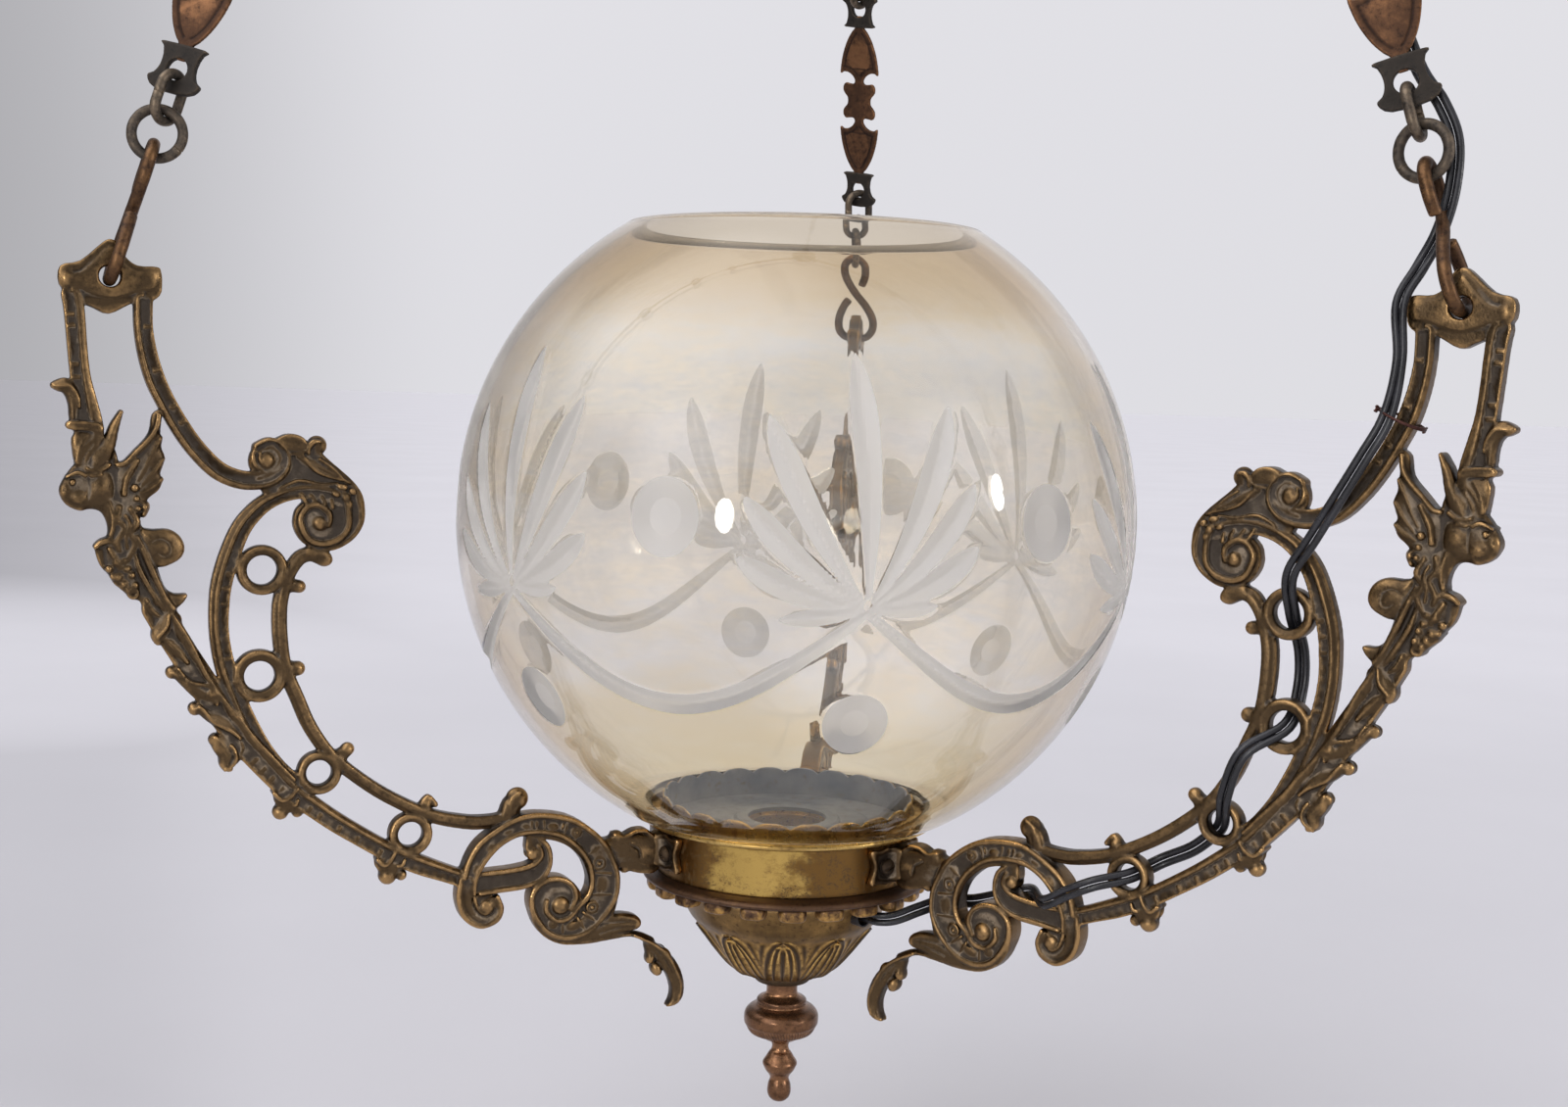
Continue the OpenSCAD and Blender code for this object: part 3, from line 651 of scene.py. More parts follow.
def cast_metal(name):
    """Sand-cast brass: grey-brown dust on the floors of the relief, black painted shade in the creases, brown metal,
    rubbed bright where it stands proud.
    """
    m = Mat(name)
    n1, n2, n3 = m.noise(38, 5, 0.6), m.noise(230, 5, 0.62), m.noise(900, 3, 0.6)
    n4 = m.noise(560, 4, 0.7)
    c, d, s = m.attr("cav"), m.attr("dip"), m.attr("face")
    v = m.math("MULTIPLY_ADD", n2, 1.0, m.math("MULTIPLY_ADD", n1, 0.9, -0.95))
    cp = m.math("MAXIMUM", c, 0.0)
    up = m.math("ADD", m.math("MULTIPLY_ADD", d, 1.1, m.math("MULTIPLY", cp, 0.5)), v)
    brown = m.range(up, -0.50, 0.20)
    floor = m.mix(m.range(m.math("MULTIPLY_ADD", n2, 0.6, m.math("MULTIPLY", n4, 0.4)), 0.40, 0.60), (0.145, 0.104, 0.062), (0.320, 0.248, 0.168))
    base = m.mix(brown, floor, (0.108, 0.070, 0.036))
    wall = m.range(s, 0.75, 0.25)
    base = m.mix(wall, base, (0.060, 0.042, 0.027))
    # painted shade: the creases are mixed towards black
    crease_shade = m.range(m.math("MULTIPLY_ADD", n2, 0.30, c), -0.05, -0.85)
    base = m.mix(m.math("MULTIPLY", crease_shade, 0.90), base, (0.030, 0.020, 0.012))
    # pits and rubbed specks
    base = m.mix(m.range(n4, 0.46, 0.32, 0.0, 0.50), base, (0.050, 0.034, 0.019))
    w = m.math("ADD", m.math("MULTIPLY_ADD", c, 0.90, m.math("MULTIPLY", d, 0.50)), m.math("MULTIPLY_ADD", v, 1.1, m.math("MULTIPLY_ADD", n4, 1.2, -0.72)))
    gold = m.math("MULTIPLY", m.range(w, 0.62, 2.15), m.range(s, 0.15, 0.6, 0.35, 1.0))
    col = m.mix(gold, base, (0.430, 0.262, 0.112))
    col = m.mix(m.range(m.xyz()[2], -0.875, -0.795, 0.0, 0.24), col, (0.020, 0.015, 0.011))
    g = m.math("MAXIMUM", m.math("MULTIPLY", brown, 0.6), gold)
    m.set(color=col, metal=m.range(g, 0, 0.6, 0.45, 1.0, False),
          rough=m.math("ADD", m.range(g, 0, 1, 0.56, 0.24, False), m.math("MULTIPLY_ADD", n4, 0.40, -0.20)),
          normal=m.bump(m.math("MULTIPLY_ADD", n3, 0.6, m.math("MULTIPLY", n2, 1.0)), 0.60, 0.00030))
    return m.m


MATS = {}


def materials():
    G = MATS
    G["cast"] = cast_metal("cast_brass")
    G["bowl"] = aged_metal("bowl_brass", (0.060, 0.034, 0.013), (0.34, 0.195, 0.060), (0.84, 0.54, 0.17), wear=0.14, rough=(0.36, 0.14), grain=0.22)
    G["ledge"] = aged_metal("ledge_brass", (0.040, 0.022, 0.014), (0.13, 0.070, 0.038), (0.72, 0.42, 0.12), wear=-0.06, rough=(0.44, 0.18), zone=(-0.9208, -0.9228, 0.42))
    G["finial"] = aged_metal("finial_bronze", (0.090, 0.045, 0.024), (0.29, 0.140, 0.066), (0.74, 0.40, 0.18), wear=0.12, rough=(0.26, 0.12), grain=0.15, patch=0.35)
    G["bronze"] = aged_metal("dark_bronze", (0.03, 0.02, 0.013), (0.10, 0.062, 0.032), (0.36, 0.22, 0.09), wear=-0.05, rough=(0.55, 0.34))
    G["hook"] = aged_metal("hook_wire", (0.022, 0.013, 0.009), (0.066, 0.034, 0.018), (0.215, 0.115, 0.052), wear=-0.16, rough=(0.52, 0.32), patch=0.9, dirt=(0.13, 0.050, 0.020))
    G["chain"] = aged_metal("chain_wire", (0.022, 0.019, 0.016), (0.066, 0.053, 0.041), (0.230, 0.175, 0.120), wear=-0.14, rough=(0.58, 0.34), metal=(0.7, 0.95), dirt=(0.105, 0.048, 0.026))
    G["iron"] = aged_metal("connector_iron", (0.013, 0.011, 0.009), (0.038, 0.030, 0.023), (0.145, 0.105, 0.065), wear=-0.10, rough=(0.60, 0.38), metal=(0.65, 0.9), grain=0.5)
    G["stamped"] = aged_metal("stamped_bronze", (0.022, 0.011, 0.007), (0.076, 0.036, 0.018), (0.215, 0.105, 0.050), wear=-0.10, rough=(0.54, 0.34), patch=0.9, grain=0.35, dirt=(0.045, 0.026, 0.016))
    G["tie"] = aged_metal("tie_wire", (0.03, 0.014, 0.012), (0.11, 0.045, 0.035), (0.25, 0.12, 0.08), wear=-0.1, rough=(0.5, 0.4), cav=False)

    # polished band: yellow brass with stains and specks, and painted dark reflections down its left and right sides
    m = Mat("polished_brass")
    st = m.noise(55, 6, 0.65, m.scaled(1, 1, 1.6))
    sp = m.noise(1300, 4, 0.75)
    n2 = m.noise(420, 4, 0.7)
    zz = m.xyz()
    # painted reflection: the band darkens away from x = -3 mm, towards its left and right sides, and this adds to the
    # stains
    painted_side_shade = m.range(m.math("ABSOLUTE", m.math("ADD", zz[0], 0.003)), 0.006, 0.030, -0.05, 0.20)
    big = m.noise(26, 4, 0.6, m.scaled(1, 1, 0.7))
    stain_and_side_shade = m.range(m.math("ADD", m.math("MULTIPLY_ADD", big, 0.4, m.math("MULTIPLY", st, 0.6)), painted_side_shade), 0.47, 0.60)
    speck = m.range(m.math("MULTIPLY_ADD", n2, 0.5, m.math("MULTIPLY", sp, 0.5)), 0.50, 0.60)
    low = m.range(zz[2], -0.9172, -0.9075, 1.0, 0.0)
    dirt = m.math("MAXIMUM", m.math("MULTIPLY", speck, m.math("MULTIPLY_ADD", stain_and_side_shade, 0.75, m.math("MULTIPLY_ADD", low, 0.6, 0.12))), 0.0, clamp=True)
    col = m.mix(stain_and_side_shade, (0.56, 0.370, 0.105), (0.20, 0.108, 0.033))
    col = m.mix(dirt, col, (0.14, 0.085, 0.035))
    G["band"] = m.set(color=col, metal=m.range(dirt, 0, 1, 1.0, 0.75, False),
                      rough=m.math("ADD", m.range(dirt, 0, 1, 0.15, 0.5, False), m.math("MULTIPLY", stain_and_side_shade, 0.16)),
                      normal=m.bump(m.math("MULTIPLY_ADD", n2, 0.5, m.math("MULTIPLY", st, 0.5)), 0.10, 0.0002))
    # seat: brass outside, dull galvanised sheet inside
    m = Mat("seat_zinc")
    n1, n2 = m.noise(45, 5), m.noise(260, 4)
    col = m.mix(m.range(n1, 0.35, 0.65), (0.195, 0.225, 0.275), (0.32, 0.335, 0.370))
    col = m.mix(m.range(n2, 0.58, 0.75, 0, 0.7), col, (0.23, 0.17, 0.11))
    G["zinc"] = m.set(color=col, metal=0.55, rough=m.range(n2, 0.3, 0.7, 0.38, 0.6), normal=m.bump(n2, 0.15, 0.0002))
    m = Mat("seat_brass")
    n1, n2 = m.noise(50, 5), m.noise(300, 4)
    col = m.mix(m.range(n1, 0.35, 0.65), (0.48, 0.31, 0.10), (0.66, 0.45, 0.16))
    col = m.mix(m.range(n2, 0.55, 0.72, 0, 0.75), col, (0.20, 0.12, 0.05))
    G["seat"] = m.set(color=col, metal=1.0, rough=m.range(n2, 0.3, 0.7, 0.22, 0.42), normal=m.bump(n2, 0.12, 0.0002))
    m = Mat("lamp_brass")
    n1, n2 = m.noise(60, 4), m.noise(500, 3)
    G["lamp"] = m.set(color=m.mix(m.range(n1, 0.35, 0.65), (0.55, 0.38, 0.13), (0.72, 0.52, 0.22)), metal=1.0, rough=m.range(n2, 0.3, 0.7, 0.25, 0.4), normal=m.bump(n2, 0.1, 0.0002))
    m = Mat("steel")
    n1, n2 = m.noise(70, 4), m.noise(600, 3)
    G["steel"] = m.set(color=m.mix(m.range(n1, 0.35, 0.65), (0.34, 0.33, 0.31), (0.52, 0.51, 0.49)), metal=1.0, rough=m.range(n2, 0.3, 0.7, 0.32, 0.5), normal=m.bump(n2, 0.15, 0.0002))
    m = Mat("ceramic")
    n1, n2 = m.noise(60, 4), m.noise(800, 2)
    G["ceramic"] = m.set(color=m.mix(m.range(n1, 0.4, 0.7), (0.80, 0.78, 0.71), (0.70, 0.66, 0.56)), rough=m.range(n2, 0.3, 0.7, 0.18, 0.30), coat=0.3, normal=m.bump(n2, 0.05, 0.0002))
    m = Mat("lead_black")
    n1, n2 = m.noise(120, 4), m.noise(1500, 3)
    G["lead"] = m.set(color=m.mix(m.range(n1, 0.4, 0.7), (0.010, 0.010, 0.012), (0.022, 0.022, 0.026)), rough=m.range(n2, 0.3, 0.7, 0.26, 0.40), normal=m.bump(n2, 0.12, 0.0001))

    # lustre glass. cut > 0 inside the ground ornament (mm from its edge), rim near the ground lip
    m = Mat("lustre_glass")
    n1 = m.noise(15, 6, 0.64, m.scaled(1, 1, 2.8), 0.5)
    n2 = m.noise(120, 5, 0.65, m.scaled(1, 1, 2.6))
    n3 = m.noise(1800, 3, 0.6)
    z = m.xyz()[2]
    low = m.range(z, -0.852, -0.894, 0.0, 1.0)
    cloud = m.range(m.math("MULTIPLY_ADD", n1, 0.75, m.math("MULTIPLY", n2, 0.35)), 0.42, 0.68)
    tint = m.mix(cloud, (0.975, 0.915, 0.800), (0.998, 0.985, 0.955))
    tint = m.mix(low, tint, (0.968, 0.872, 0.640))
    tint = m.mix(m.range(z, -0.730, -0.706, 0.0, 0.9), tint, (0.870, 0.760, 0.590))
    # painted darker edge: a brown tint where the glass is seen edge-on, in place of absorption along the longer path
    # through the wall
    lw = m.t.nodes.new("ShaderNodeLayerWeight")
    lw.inputs[0].default_value = 0.5
    edge = m.range(lw.outputs["Facing"], 0.40, 0.88, 0.0, 0.9)
    tint = m.mix(edge, tint, (0.760, 0.630, 0.480))
    cut = m.range(m.attr("cut"), -0.12, 0.12)
    lip = m.attr("lip")
    groove = m.bump(m.math("MULTIPLY", m.math("MINIMUM", m.math("MAXIMUM", m.attr("cut"), 0.0), 6.0), -1.0), 1.0, 0.00030)
    tint = m.mix(cut, tint, (0.975, 0.968, 0.952))
    tint = m.mix(lip, tint, (0.93, 0.84, 0.66))
    m.set(color=tint, ior=1.43, trans=m.range(cut, 0, 1, 1.0, 0.74, False), rough=m.math("ADD", m.range(cut, 0, 1, 0.012, 0.46, False), m.math("MULTIPLY", lip, 0.12)),
          normal=groove)
    # a thin film that scatters a little, in clouds
    haze = m.t.nodes.new("ShaderNodeBsdfTranslucent")
    haze.inputs["Color"].default_value = (0.93, 0.90, 0.84, 1)
    dif = m.t.nodes.new("ShaderNodeBsdfDiffuse")
    dif.inputs["Color"].default_value = (0.93, 0.90, 0.84, 1)
    m.link(groove, haze.inputs["Normal"])
    m.link(groove, dif.inputs["Normal"])
    add = m.t.nodes.new("ShaderNodeMixShader")
    add.inputs[0].default_value = 0.30
    m.link(haze.outputs[0], add.inputs[1])
    m.link(dif.outputs[0], add.inputs[2])
    mx = m.t.nodes.new("ShaderNodeMixShader")
    band = m.math("MULTIPLY", m.range(z, -0.86, -0.80), m.range(z, -0.715, -0.745))
    hz = m.math("MULTIPLY", m.math("MULTIPLY", cloud, band), 0.17)
    hz = m.math("MAXIMUM", hz, m.math("MULTIPLY", cut, 0.40))
    hz = m.math("MAXIMUM", hz, m.math("MULTIPLY", lip, 0.45))
    m.link(hz, mx.inputs[0])
    m.link(m.b.outputs[0], mx.inputs[1])
    m.link(add.outputs[0], mx.inputs[2])
    m.link(mx.outputs[0], m.out.inputs[0])
    G["glass"] = m.m


# ============================================================ the cast arm, in its own plane: x = distance from the axis, z above the band
OUTER_RAIL = [(243, 177, 3.0), (242.2, 172, 3.0), (241.3, 160, 2.9), (240.5, 152, 3.0), (239.5, 145, 3.7), (238.2, 137, 4.3), (237.6, 129, 3.8)]
INNER_RAIL = [(222.3, 176, 2.9), (222.2, 168, 2.8), (221, 160, 2.9), (218.7, 152, 3.0), (215.5, 145, 2.9), (211, 137, 3.0), (206, 130, 3.0),
              (200, 124, 3), (194, 121.2, 3.0), (188.5, 120.6, 2.9), (183.6, 121.4, 2.6), (180.2, 124.2, 2.4), (179.2, 128, 2.2), (180.8, 131.4, 2.0),
              (184.2, 132.6, 1.9), (187.6, 131.2, 1.7)]
MAIN_RAIL = [(160.5, 115.6, 3.2), (166, 117.2, 3.0), (172, 117.9, 2.9), (178, 117.0, 2.7), (183.5, 114.6, 2.6), (188, 111.2, 2.8), (192.5, 105.5, 3.0), (196, 97, 3.2),
             (198.5, 88, 3.2), (199.3, 80, 3.1), (199.2, 72, 3.0), (198, 64, 3.1), (196, 57, 3.2), (193, 48.5, 3.2), (189.5, 41, 3.1), (185.5, 34, 2.9), (180.5, 27.5, 2.7), (176, 23, 2.7)]
LOW_RAIL = [(218, 80, 4.6), (213.8, 72, 4.4), (209, 64, 4.4), (203.6, 55, 4.6), (199.5, 48.5, 4.6), (194.2, 40, 4.4), (188.5, 33, 4.2), (182.5, 26, 3.9), (177, 20, 3.6), (170, 14.5, 3.3),
            (162, 8.5, 3.2), (154, 3.2, 3.1), (147, -1.2, 3.1), (140, -5, 3.2), (133, -8.2, 3.2), (126, -11, 2.9), (118, -14.2, 2.8)]
THIN_RAIL = [(170, 97.3, 2.3), (174, 96, 2.3), (177, 92, 2.2), (179, 87, 2.3), (180.4, 80, 2.4), (180.2, 70, 2.4), (178.6, 60, 2.3),
             (174.6, 50, 2.3), (170.2, 40, 2.3), (163, 30, 2.2), (151, 20, 2.2), (140, 13.2, 2.2), (130, 8.5, 2.3), (120, 6, 2.4), (113, 5.3, 2.4),
             (106, 6, 2.3), (102, 8.6, 2.3)]
BASE = [(109.4, -21.8, 1.4), (106.8, -24.2, 1.6), (108, -27.9, 1.8), (112.6, -29.0, 2.0), (117.2, -25.8, 2.3), (118.9, -20, 2.5), (117.8, -12.6, 2.8), (114.2, -5.6, 2.8),
        (108.4, -0.2, 2.9), (101, 2.8, 3.0), (92, 2.2, 3.7), (85.5, 0.8, 3.8), (79.5, -2.4, 3.9), (73.7, -8.2, 4.4), (69.8, -17, 5.4), (70.2, -27, 5.1),
        (75, -33.7, 4.4), (82, -36.0, 3.6), (89, -33.4, 3.1), (93.0, -27.5, 2.8), (92.1, -21.6, 2.6), (88, -18.4, 2.3), (82.8, -18.8, 2.1), (79.6, -22.5, 1.9),
        (80.4, -27, 1.7)]
BEAST = [(233.4, 131.4), (238, 128.5), (242, 125.5), (245, 121.5), (246.8, 117), (245, 113), (241, 111),
         (237.5, 111.5), (234.6, 110.5), (232.9, 107), (232.9, 103), (235.6, 100.6), (236.4, 98.6), (235, 94), (232.4, 90.9), (230.9, 88.2),
         (228, 86.1), (226, 83.3), (223.5, 82.8), (222, 80), (220.5, 76), (212, 74), (210.6, 77), (212.6, 80), (216.6, 86), (218.2, 92), (219.5, 96), (221.5, 104),
         (223.4, 108), (222.6, 112), (220.5, 115), (217.6, 117.5), (216.7, 120.3), (217.6, 124), (215.8, 127.5), (217.0, 131), (217.2, 134), (217, 142), (219.6, 141), (220.6, 135.5),
         (223.6, 130.8), (226.4, 127.3), (229.3, 126.2), (230.4, 129.6)]
TIP = [(229, 192.8), (231.5, 194.3), (234, 193.3), (240.5, 187.4), (246.2, 185.6), (246.6, 180), (243, 176.5), (240, 174.5),
       (237, 173.2), (232.3, 171.5), (226.5, 174.5), (223, 176), (219.2, 176.2), (216.8, 179), (217, 185), (218.2, 186.5), (224, 186.7), (227.5, 189.3)]
CREST = [(185.0, 121.5), (186.2, 126.6), (185.4, 130.6), (183.4, 133.0), (180.6, 134.4), (178, 135.4), (174.8, 135.2), (172, 133.4), (167.6, 129.8),
         (164.8, 127.2), (161.0, 124.0), (157.3, 120.6), (154.7, 117.0), (153.6, 113), (153.6, 108), (155.4, 103.9), (158.6, 100.6), (163.5, 98.2), (168.6, 98.3),
         (173.4, 100.8), (176.3, 105.6), (176.0, 110.6), (174.0, 113.4), (171.6, 115.4), (177.5, 116), (183.4, 115.4), (186.4, 117.6)]


def rail(side, bars=(), top=3.25, floor=2.15, lip=2.6, bead_at=0.33, bead_w=0.38, out=1.8, wave=0.0):
    """Half height across a rail: a rounded bead on one side, a channel with cross bars on the other."""
    def f(v, t, w):
        u = side * v / w
        bead = floor + (top - floor) * np.sqrt(np.clip(1 - ((u - bead_at) / bead_w) ** 2, 0, 1))
        H = np.where(u > bead_at, top - (top - out) * sstep(bead_at + 0.04, 0.92, u), np.maximum(floor, bead))
        H = np.maximum(H, floor + (lip - floor) * sstep(-0.66, -0.86, u))
        for b in bars:
            H = np.maximum(H, floor + 0.42 * sstep(1.0, 0.3, np.abs(t - b)) * sstep(0.02, -0.15, u))
        if wave:
            H = H + wave * np.sin(t * 1.9) * sstep(0.0, -0.25, u) * sstep(-1.0, -0.7, u)
        return H
    return f


def shift(pts, dx, dz):
    return [(p[0] + dx, p[1] + dz, *p[2:]) for p in pts]


def withr(pts, r, ends=0.7):
    """Adds a radius to each point, thinner at both ends."""
    n = len(pts)
    return [(p[0], p[1], r * (ends if i in (0, n - 1) else 1.0)) for i, p in enumerate(pts)]


def arm_mesh():
    S = Relief(36, 251, -68, 197, 5.4, 0.45)
    # ---- rails
    S.ribbon(OUTER_RAIL, rail(-1, (6, 9.5, 21, 25), bead_at=0.42, bead_w=0.34, out=2.9), 0.5)
    S.ribbon(INNER_RAIL, rail(+1, (8, 22, 34.5, 40), bead_at=0.60, bead_w=0.38, out=2.6), 0.5)
    S.ribbon(MAIN_RAIL, rail(+1, (52, 57, 62, 80, 88), bead_at=0.30, bead_w=0.36, wave=0.06), 0.5)
    S.ribbon(LOW_RAIL, rail(-1, (58, 62, 66, 71, 82, 86, 94, 101, 110), bead_at=0.55, bead_w=0.34, floor=2.1, out=2.4, wave=0.07), 0.5)
    S.ribbon(THIN_RAIL, lambda v, t, w: 2.0 + 0.9 * np.sqrt(np.clip(1 - ((v / w + 0.28) / 0.8) ** 2, 0, 1)) * (v / w < 0.52), 1.0)
    # ---- rings: square in section with a raised outer rim
    for x, z, a, b in ((186, 92, 4.7, 8.0), (186.6, 57.8, 4.8, 8.5), (167.5, 25.3, 4.1, 7.1), (137.3, 2.9, 4.1, 7.3)):
        S.ring(x, z, a, b, 2.45, k=0.8, power=4.0)
        t = np.linspace(0, 2 * math.pi, 33)
        S.bead([(x + (b - 1.15) * math.cos(q), z + (b - 1.15) * math.sin(q), 0.85) for q in t], 2.1, k=0.8, sub=1)
    # ---- tip plate
    S.poly(TIP, 2.5, 0.9)
    S.dome([(245.4, 183), (240.6, 184.2), (236.5, 188), (233.2, 191.8), (231, 192.2), (229.4, 189.6), (226.5, 186.9), (223.5, 185.6), (218.8, 185.2), (218.0, 182.6),
            (218.6, 179.6), (222, 178.6), (226, 177.4), (232, 176.0), (238, 177.2), (243, 179.0), (245.4, 180)], 3.3, 2.5, 1.8)
    S.egg(219.6, 183.2, 2.4, 2.8, 0, 2.2, 1.2)
    S.egg(244.4, 182, 1.8, 2.6, 0, 2.2, 1.2)
    S.drill(232, 183, 3.2)
    # ---- hooked leaf on the outer rail, wrap band, cuff
    S.lobe([(241.6, 136.5, 1.4), (242.4, 139.8, 1.5), (242.4, 143, 1.7), (242.9, 146.8, 2.2), (244.6, 149.2, 2.4), (246.6, 149.3, 1.9), (248.2, 149.3, 1.1)], 3.2, 1.6, k=0.5)
    S.bead([(240.9, 143, 0.5), (241.6, 146.2, 0.75), (243.7, 149.1, 0.85), (246.8, 149.3, 0.7)], 2.9, k=0.5)
    S.dome([(242.4, 134.6), (243, 129.6), (241.6, 124), (238.4, 123.8), (234.9, 130), (235.2, 135)], 3.1, 2.2, 2.2)
    for p in ([(238.8, 134), (240.6, 130.6), (241.8, 126.2)], [(237.0, 132.7), (239.4, 129.6), (241.3, 125.6)], [(236, 131.7), (238.4, 127.6), (239, 125)]):
        S.bead(withr(p, 0.8), 2.7, k=0.35)
    S.ribbon([(243.6, 137.2, 1.3), (239, 136.9, 1.4), (235.2, 136.4, 1.3)], 3.5, 0.8)
    S.bead([(243.4, 138.2, 0.45), (239, 138.1, 0.5), (235.4, 137.6, 0.45)], 3.3, k=0.3)
    # ---- beast: body, then lobes laid on it
    S.poly(BEAST, 2.3, 0.9)
    S.lobe([(233, 113, 2.6), (229.2, 109, 4.0), (227.8, 103, 4.6), (228.6, 97, 4.6), (228.4, 91.4, 3.6), (225.6, 86.4, 2.2)], 3.3, 2.4)
    S.dome([(229.8, 125), (227.2, 125.6), (223.8, 129.2), (220, 133.4), (218, 137), (217.4, 134), (217, 130), (216.2, 127.4), (217.6, 123.8), (217, 120.4), (220, 116.6), (222.8, 113), (223.6, 110), (228, 112), (230, 118)], 3.1, 2.2, 2.6, k=0.6)
    S.dome([(238, 126.4), (241.4, 124), (244.8, 121), (246.4, 117.6), (245.6, 114.6), (243.6, 112.4), (240.7, 111.1), (238.8, 111.9), (236.4, 111.6), (234.2, 111),
            (231.6, 113), (230.6, 117), (231.4, 121.6), (234, 124.6)], 3.7, 2.2, 3.6, k=0.6)
    S.egg(234.8, 118.2, 2.6, 3.9, 8, 3.0, 1.35, k=0.5)              # cheek
    S.egg(240.9, 115.2, 2.5, 2.2, 0, 3.1, 1.3, k=0.5)               # muzzle
    S.egg(245.0, 117.3, 1.5, 2.2, 10, 2.6, 1.3)                     # nose
    S.ball(245.5, 117.6, 0.5, 3.9, k=0.2, cut=True)
    S.ball(242.9, 119.7, 1.05, 3.7, k=0.2)                          # eye
    S.bead([(244.6, 121.4, 0.45), (241.4, 122.7, 0.75), (238.5, 121.7, 0.8), (234.8, 122.3, 0.7)], 3.6, k=0.35)   # brow
    S.bead([(241.6, 120.4, 0.35), (242.8, 118.3, 0.35), (244.4, 119.4, 0.3)], 3.9, k=0.2, cut=True)
    S.bead([(238.4, 121.2, 0.5), (238, 117.6, 0.55), (238.3, 114, 0.5), (237, 112.4, 0.4)], 4.0, k=0.3, cut=True)
    S.bead([(245.4, 114.6, 0.45), (243.2, 113.3, 0.5), (241.2, 112.6, 0.45)], 3.5, k=0.3, cut=True)
    # horn
    S.lobe([(236.6, 123.9, 1.9), (234.6, 127.4, 3.0), (232.3, 131.6, 2.1), (230.8, 136.8, 1.6), (228.8, 141.5, 0.8)], 3.9, 1.8, k=0.5)
    S.bead([(236.2, 128.6, 0.5), (233.2, 132.1, 0.6), (231.7, 137.0, 0.5), (229.4, 141.1, 0.4)], 2.9, k=0.3)
    S.bead([(238.6, 124.0, 0.8), (235.4, 123.4, 0.9), (232.4, 125.2, 0.8)], 3.3, k=0.35)
    # wing: gold ridge in front, feathers fanned behind it, membrane edge on top
    for p in ([(224.8, 118.6, 1.3), (221.4, 124.8, 2.0), (218.8, 130.4, 1.6), (217.2, 133.8, 0.8)], [(223.6, 117.8, 1.2), (219.6, 122.4, 1.9), (216.6, 127.2, 0.9)],
              [(223, 116.6, 1.1), (219.6, 118.6, 1.6), (217.0, 120.8, 0.9)], [(223.8, 114.4, 1.0), (221.6, 112.6, 1.4), (222.2, 109.8, 1.0)]):
        S.lobe(p, 3.5, 1.9, k=0.35, power=1.2)
    S.bead(withr([(227.9, 116.4), (227.2, 120.6), (225.7, 123.8), (224.2, 126.6)], 1.15, 0.8), 3.0, k=0.5)
    S.bead(withr([(229.8, 125.2), (227.4, 125.8), (224.2, 129.3), (220.4, 133.4), (218.4, 136.9), (217.7, 140.8)], 0.95, 0.8), 2.7, k=0.5)
    S.ball(224.8, 118.2, 1.3, 3.3, k=0.3)
    for x, z in ((224.2, 114.8), (221.8, 112.2), (223.8, 111.7)):
        S.ball(x, z, 0.95, 3.0, k=0.35)
    S.bead(withr([(232.3, 113.6), (231.4, 110.2), (231.1, 106.6), (231.8, 103.6)], 0.95, 0.8), 3.0, k=0.4)
    # mane
    S.bead(withr([(229.4, 112), (229.9, 108.6), (228.0, 105.6), (229.9, 101.6), (229.5, 99)], 1.15), 3.0, k=0.8)
    S.bead(withr([(226.1, 111.6), (224.2, 107.6), (226.1, 104.1), (224.7, 100.5), (226.9, 96)], 1.15), 2.9, k=0.8)
    S.bead(withr([(227.6, 109.6), (226.4, 106.6), (227.4, 102.6), (227.0, 99.4)], 0.7), 3.5, k=0.3)
    S.bead(withr([(232.3, 99.2), (230.4, 96.2), (229.0, 93.4)], 1.0), 3.1, k=0.8)
    S.bead(withr([(236.3, 99.8), (234.4, 101.2), (231.8, 101.6), (229.8, 99.8)], 1.0), 2.8, k=0.8)
    for x, z, r in ((232.4, 93, 1.2), (230.4, 95, 1.15), (229.5, 90.4, 1.3), (228, 88.3, 1.15), (227.1, 92.9, 1.25), (225.7, 90.9, 1.15), (228.0, 95.5, 1.1),
                    (231.2, 90.6, 1.0), (224.7, 87.8, 1.1), (226.7, 86.4, 1.0)):
        S.ball(x, z, r, 2.9, k=0.7)
    t = np.linspace(0, 2 * math.pi, 13)
    S.bead([(225.3 + 1.4 * math.cos(q), 85.2 + 1.4 * math.sin(q), 0.5) for q in t], 2.9, k=0.25, sub=1)
    # tail: one smooth domed lobe with a shallow curl cut in it
    S.dome([(223.3, 105.2), (219.4, 105.2), (214.6, 105.2), (211.2, 103), (209.8, 99.5), (210.7, 96.4), (213.6, 94.3), (217.5, 93.2), (221.2, 95.2), (222.8, 100)], 3.9, 1.9, 4.6, k=0.5)
    S.bead(withr([(220.6, 100.4), (217.6, 102), (215.0, 100.6), (214.5, 98.0), (216, 96.9), (217.8, 97.9)], 0.55), 4.05, k=0.5, cut=True)
    # strands on the inner side and the spike
    S.dome([(218.4, 94), (216, 87.4), (213, 84.9), (208.9, 84.7), (210.1, 82), (212.3, 79.4), (210.6, 74.8), (214, 75), (218.6, 83), (221, 90)], 3.0, 1.8, 2.4, k=0.5)
    S.bead(withr([(224.2, 102.8), (221.9, 98), (219.4, 91.8), (217.5, 87.3), (215.8, 83.6), (213.4, 80.4)], 1.2, 0.8), 2.9, k=0.5)
    S.bead(withr([(224.8, 97.6), (223.3, 92.4), (220.4, 86.8), (217.5, 82.2), (215.9, 79.6)], 1.05, 0.7), 2.7, k=0.45)
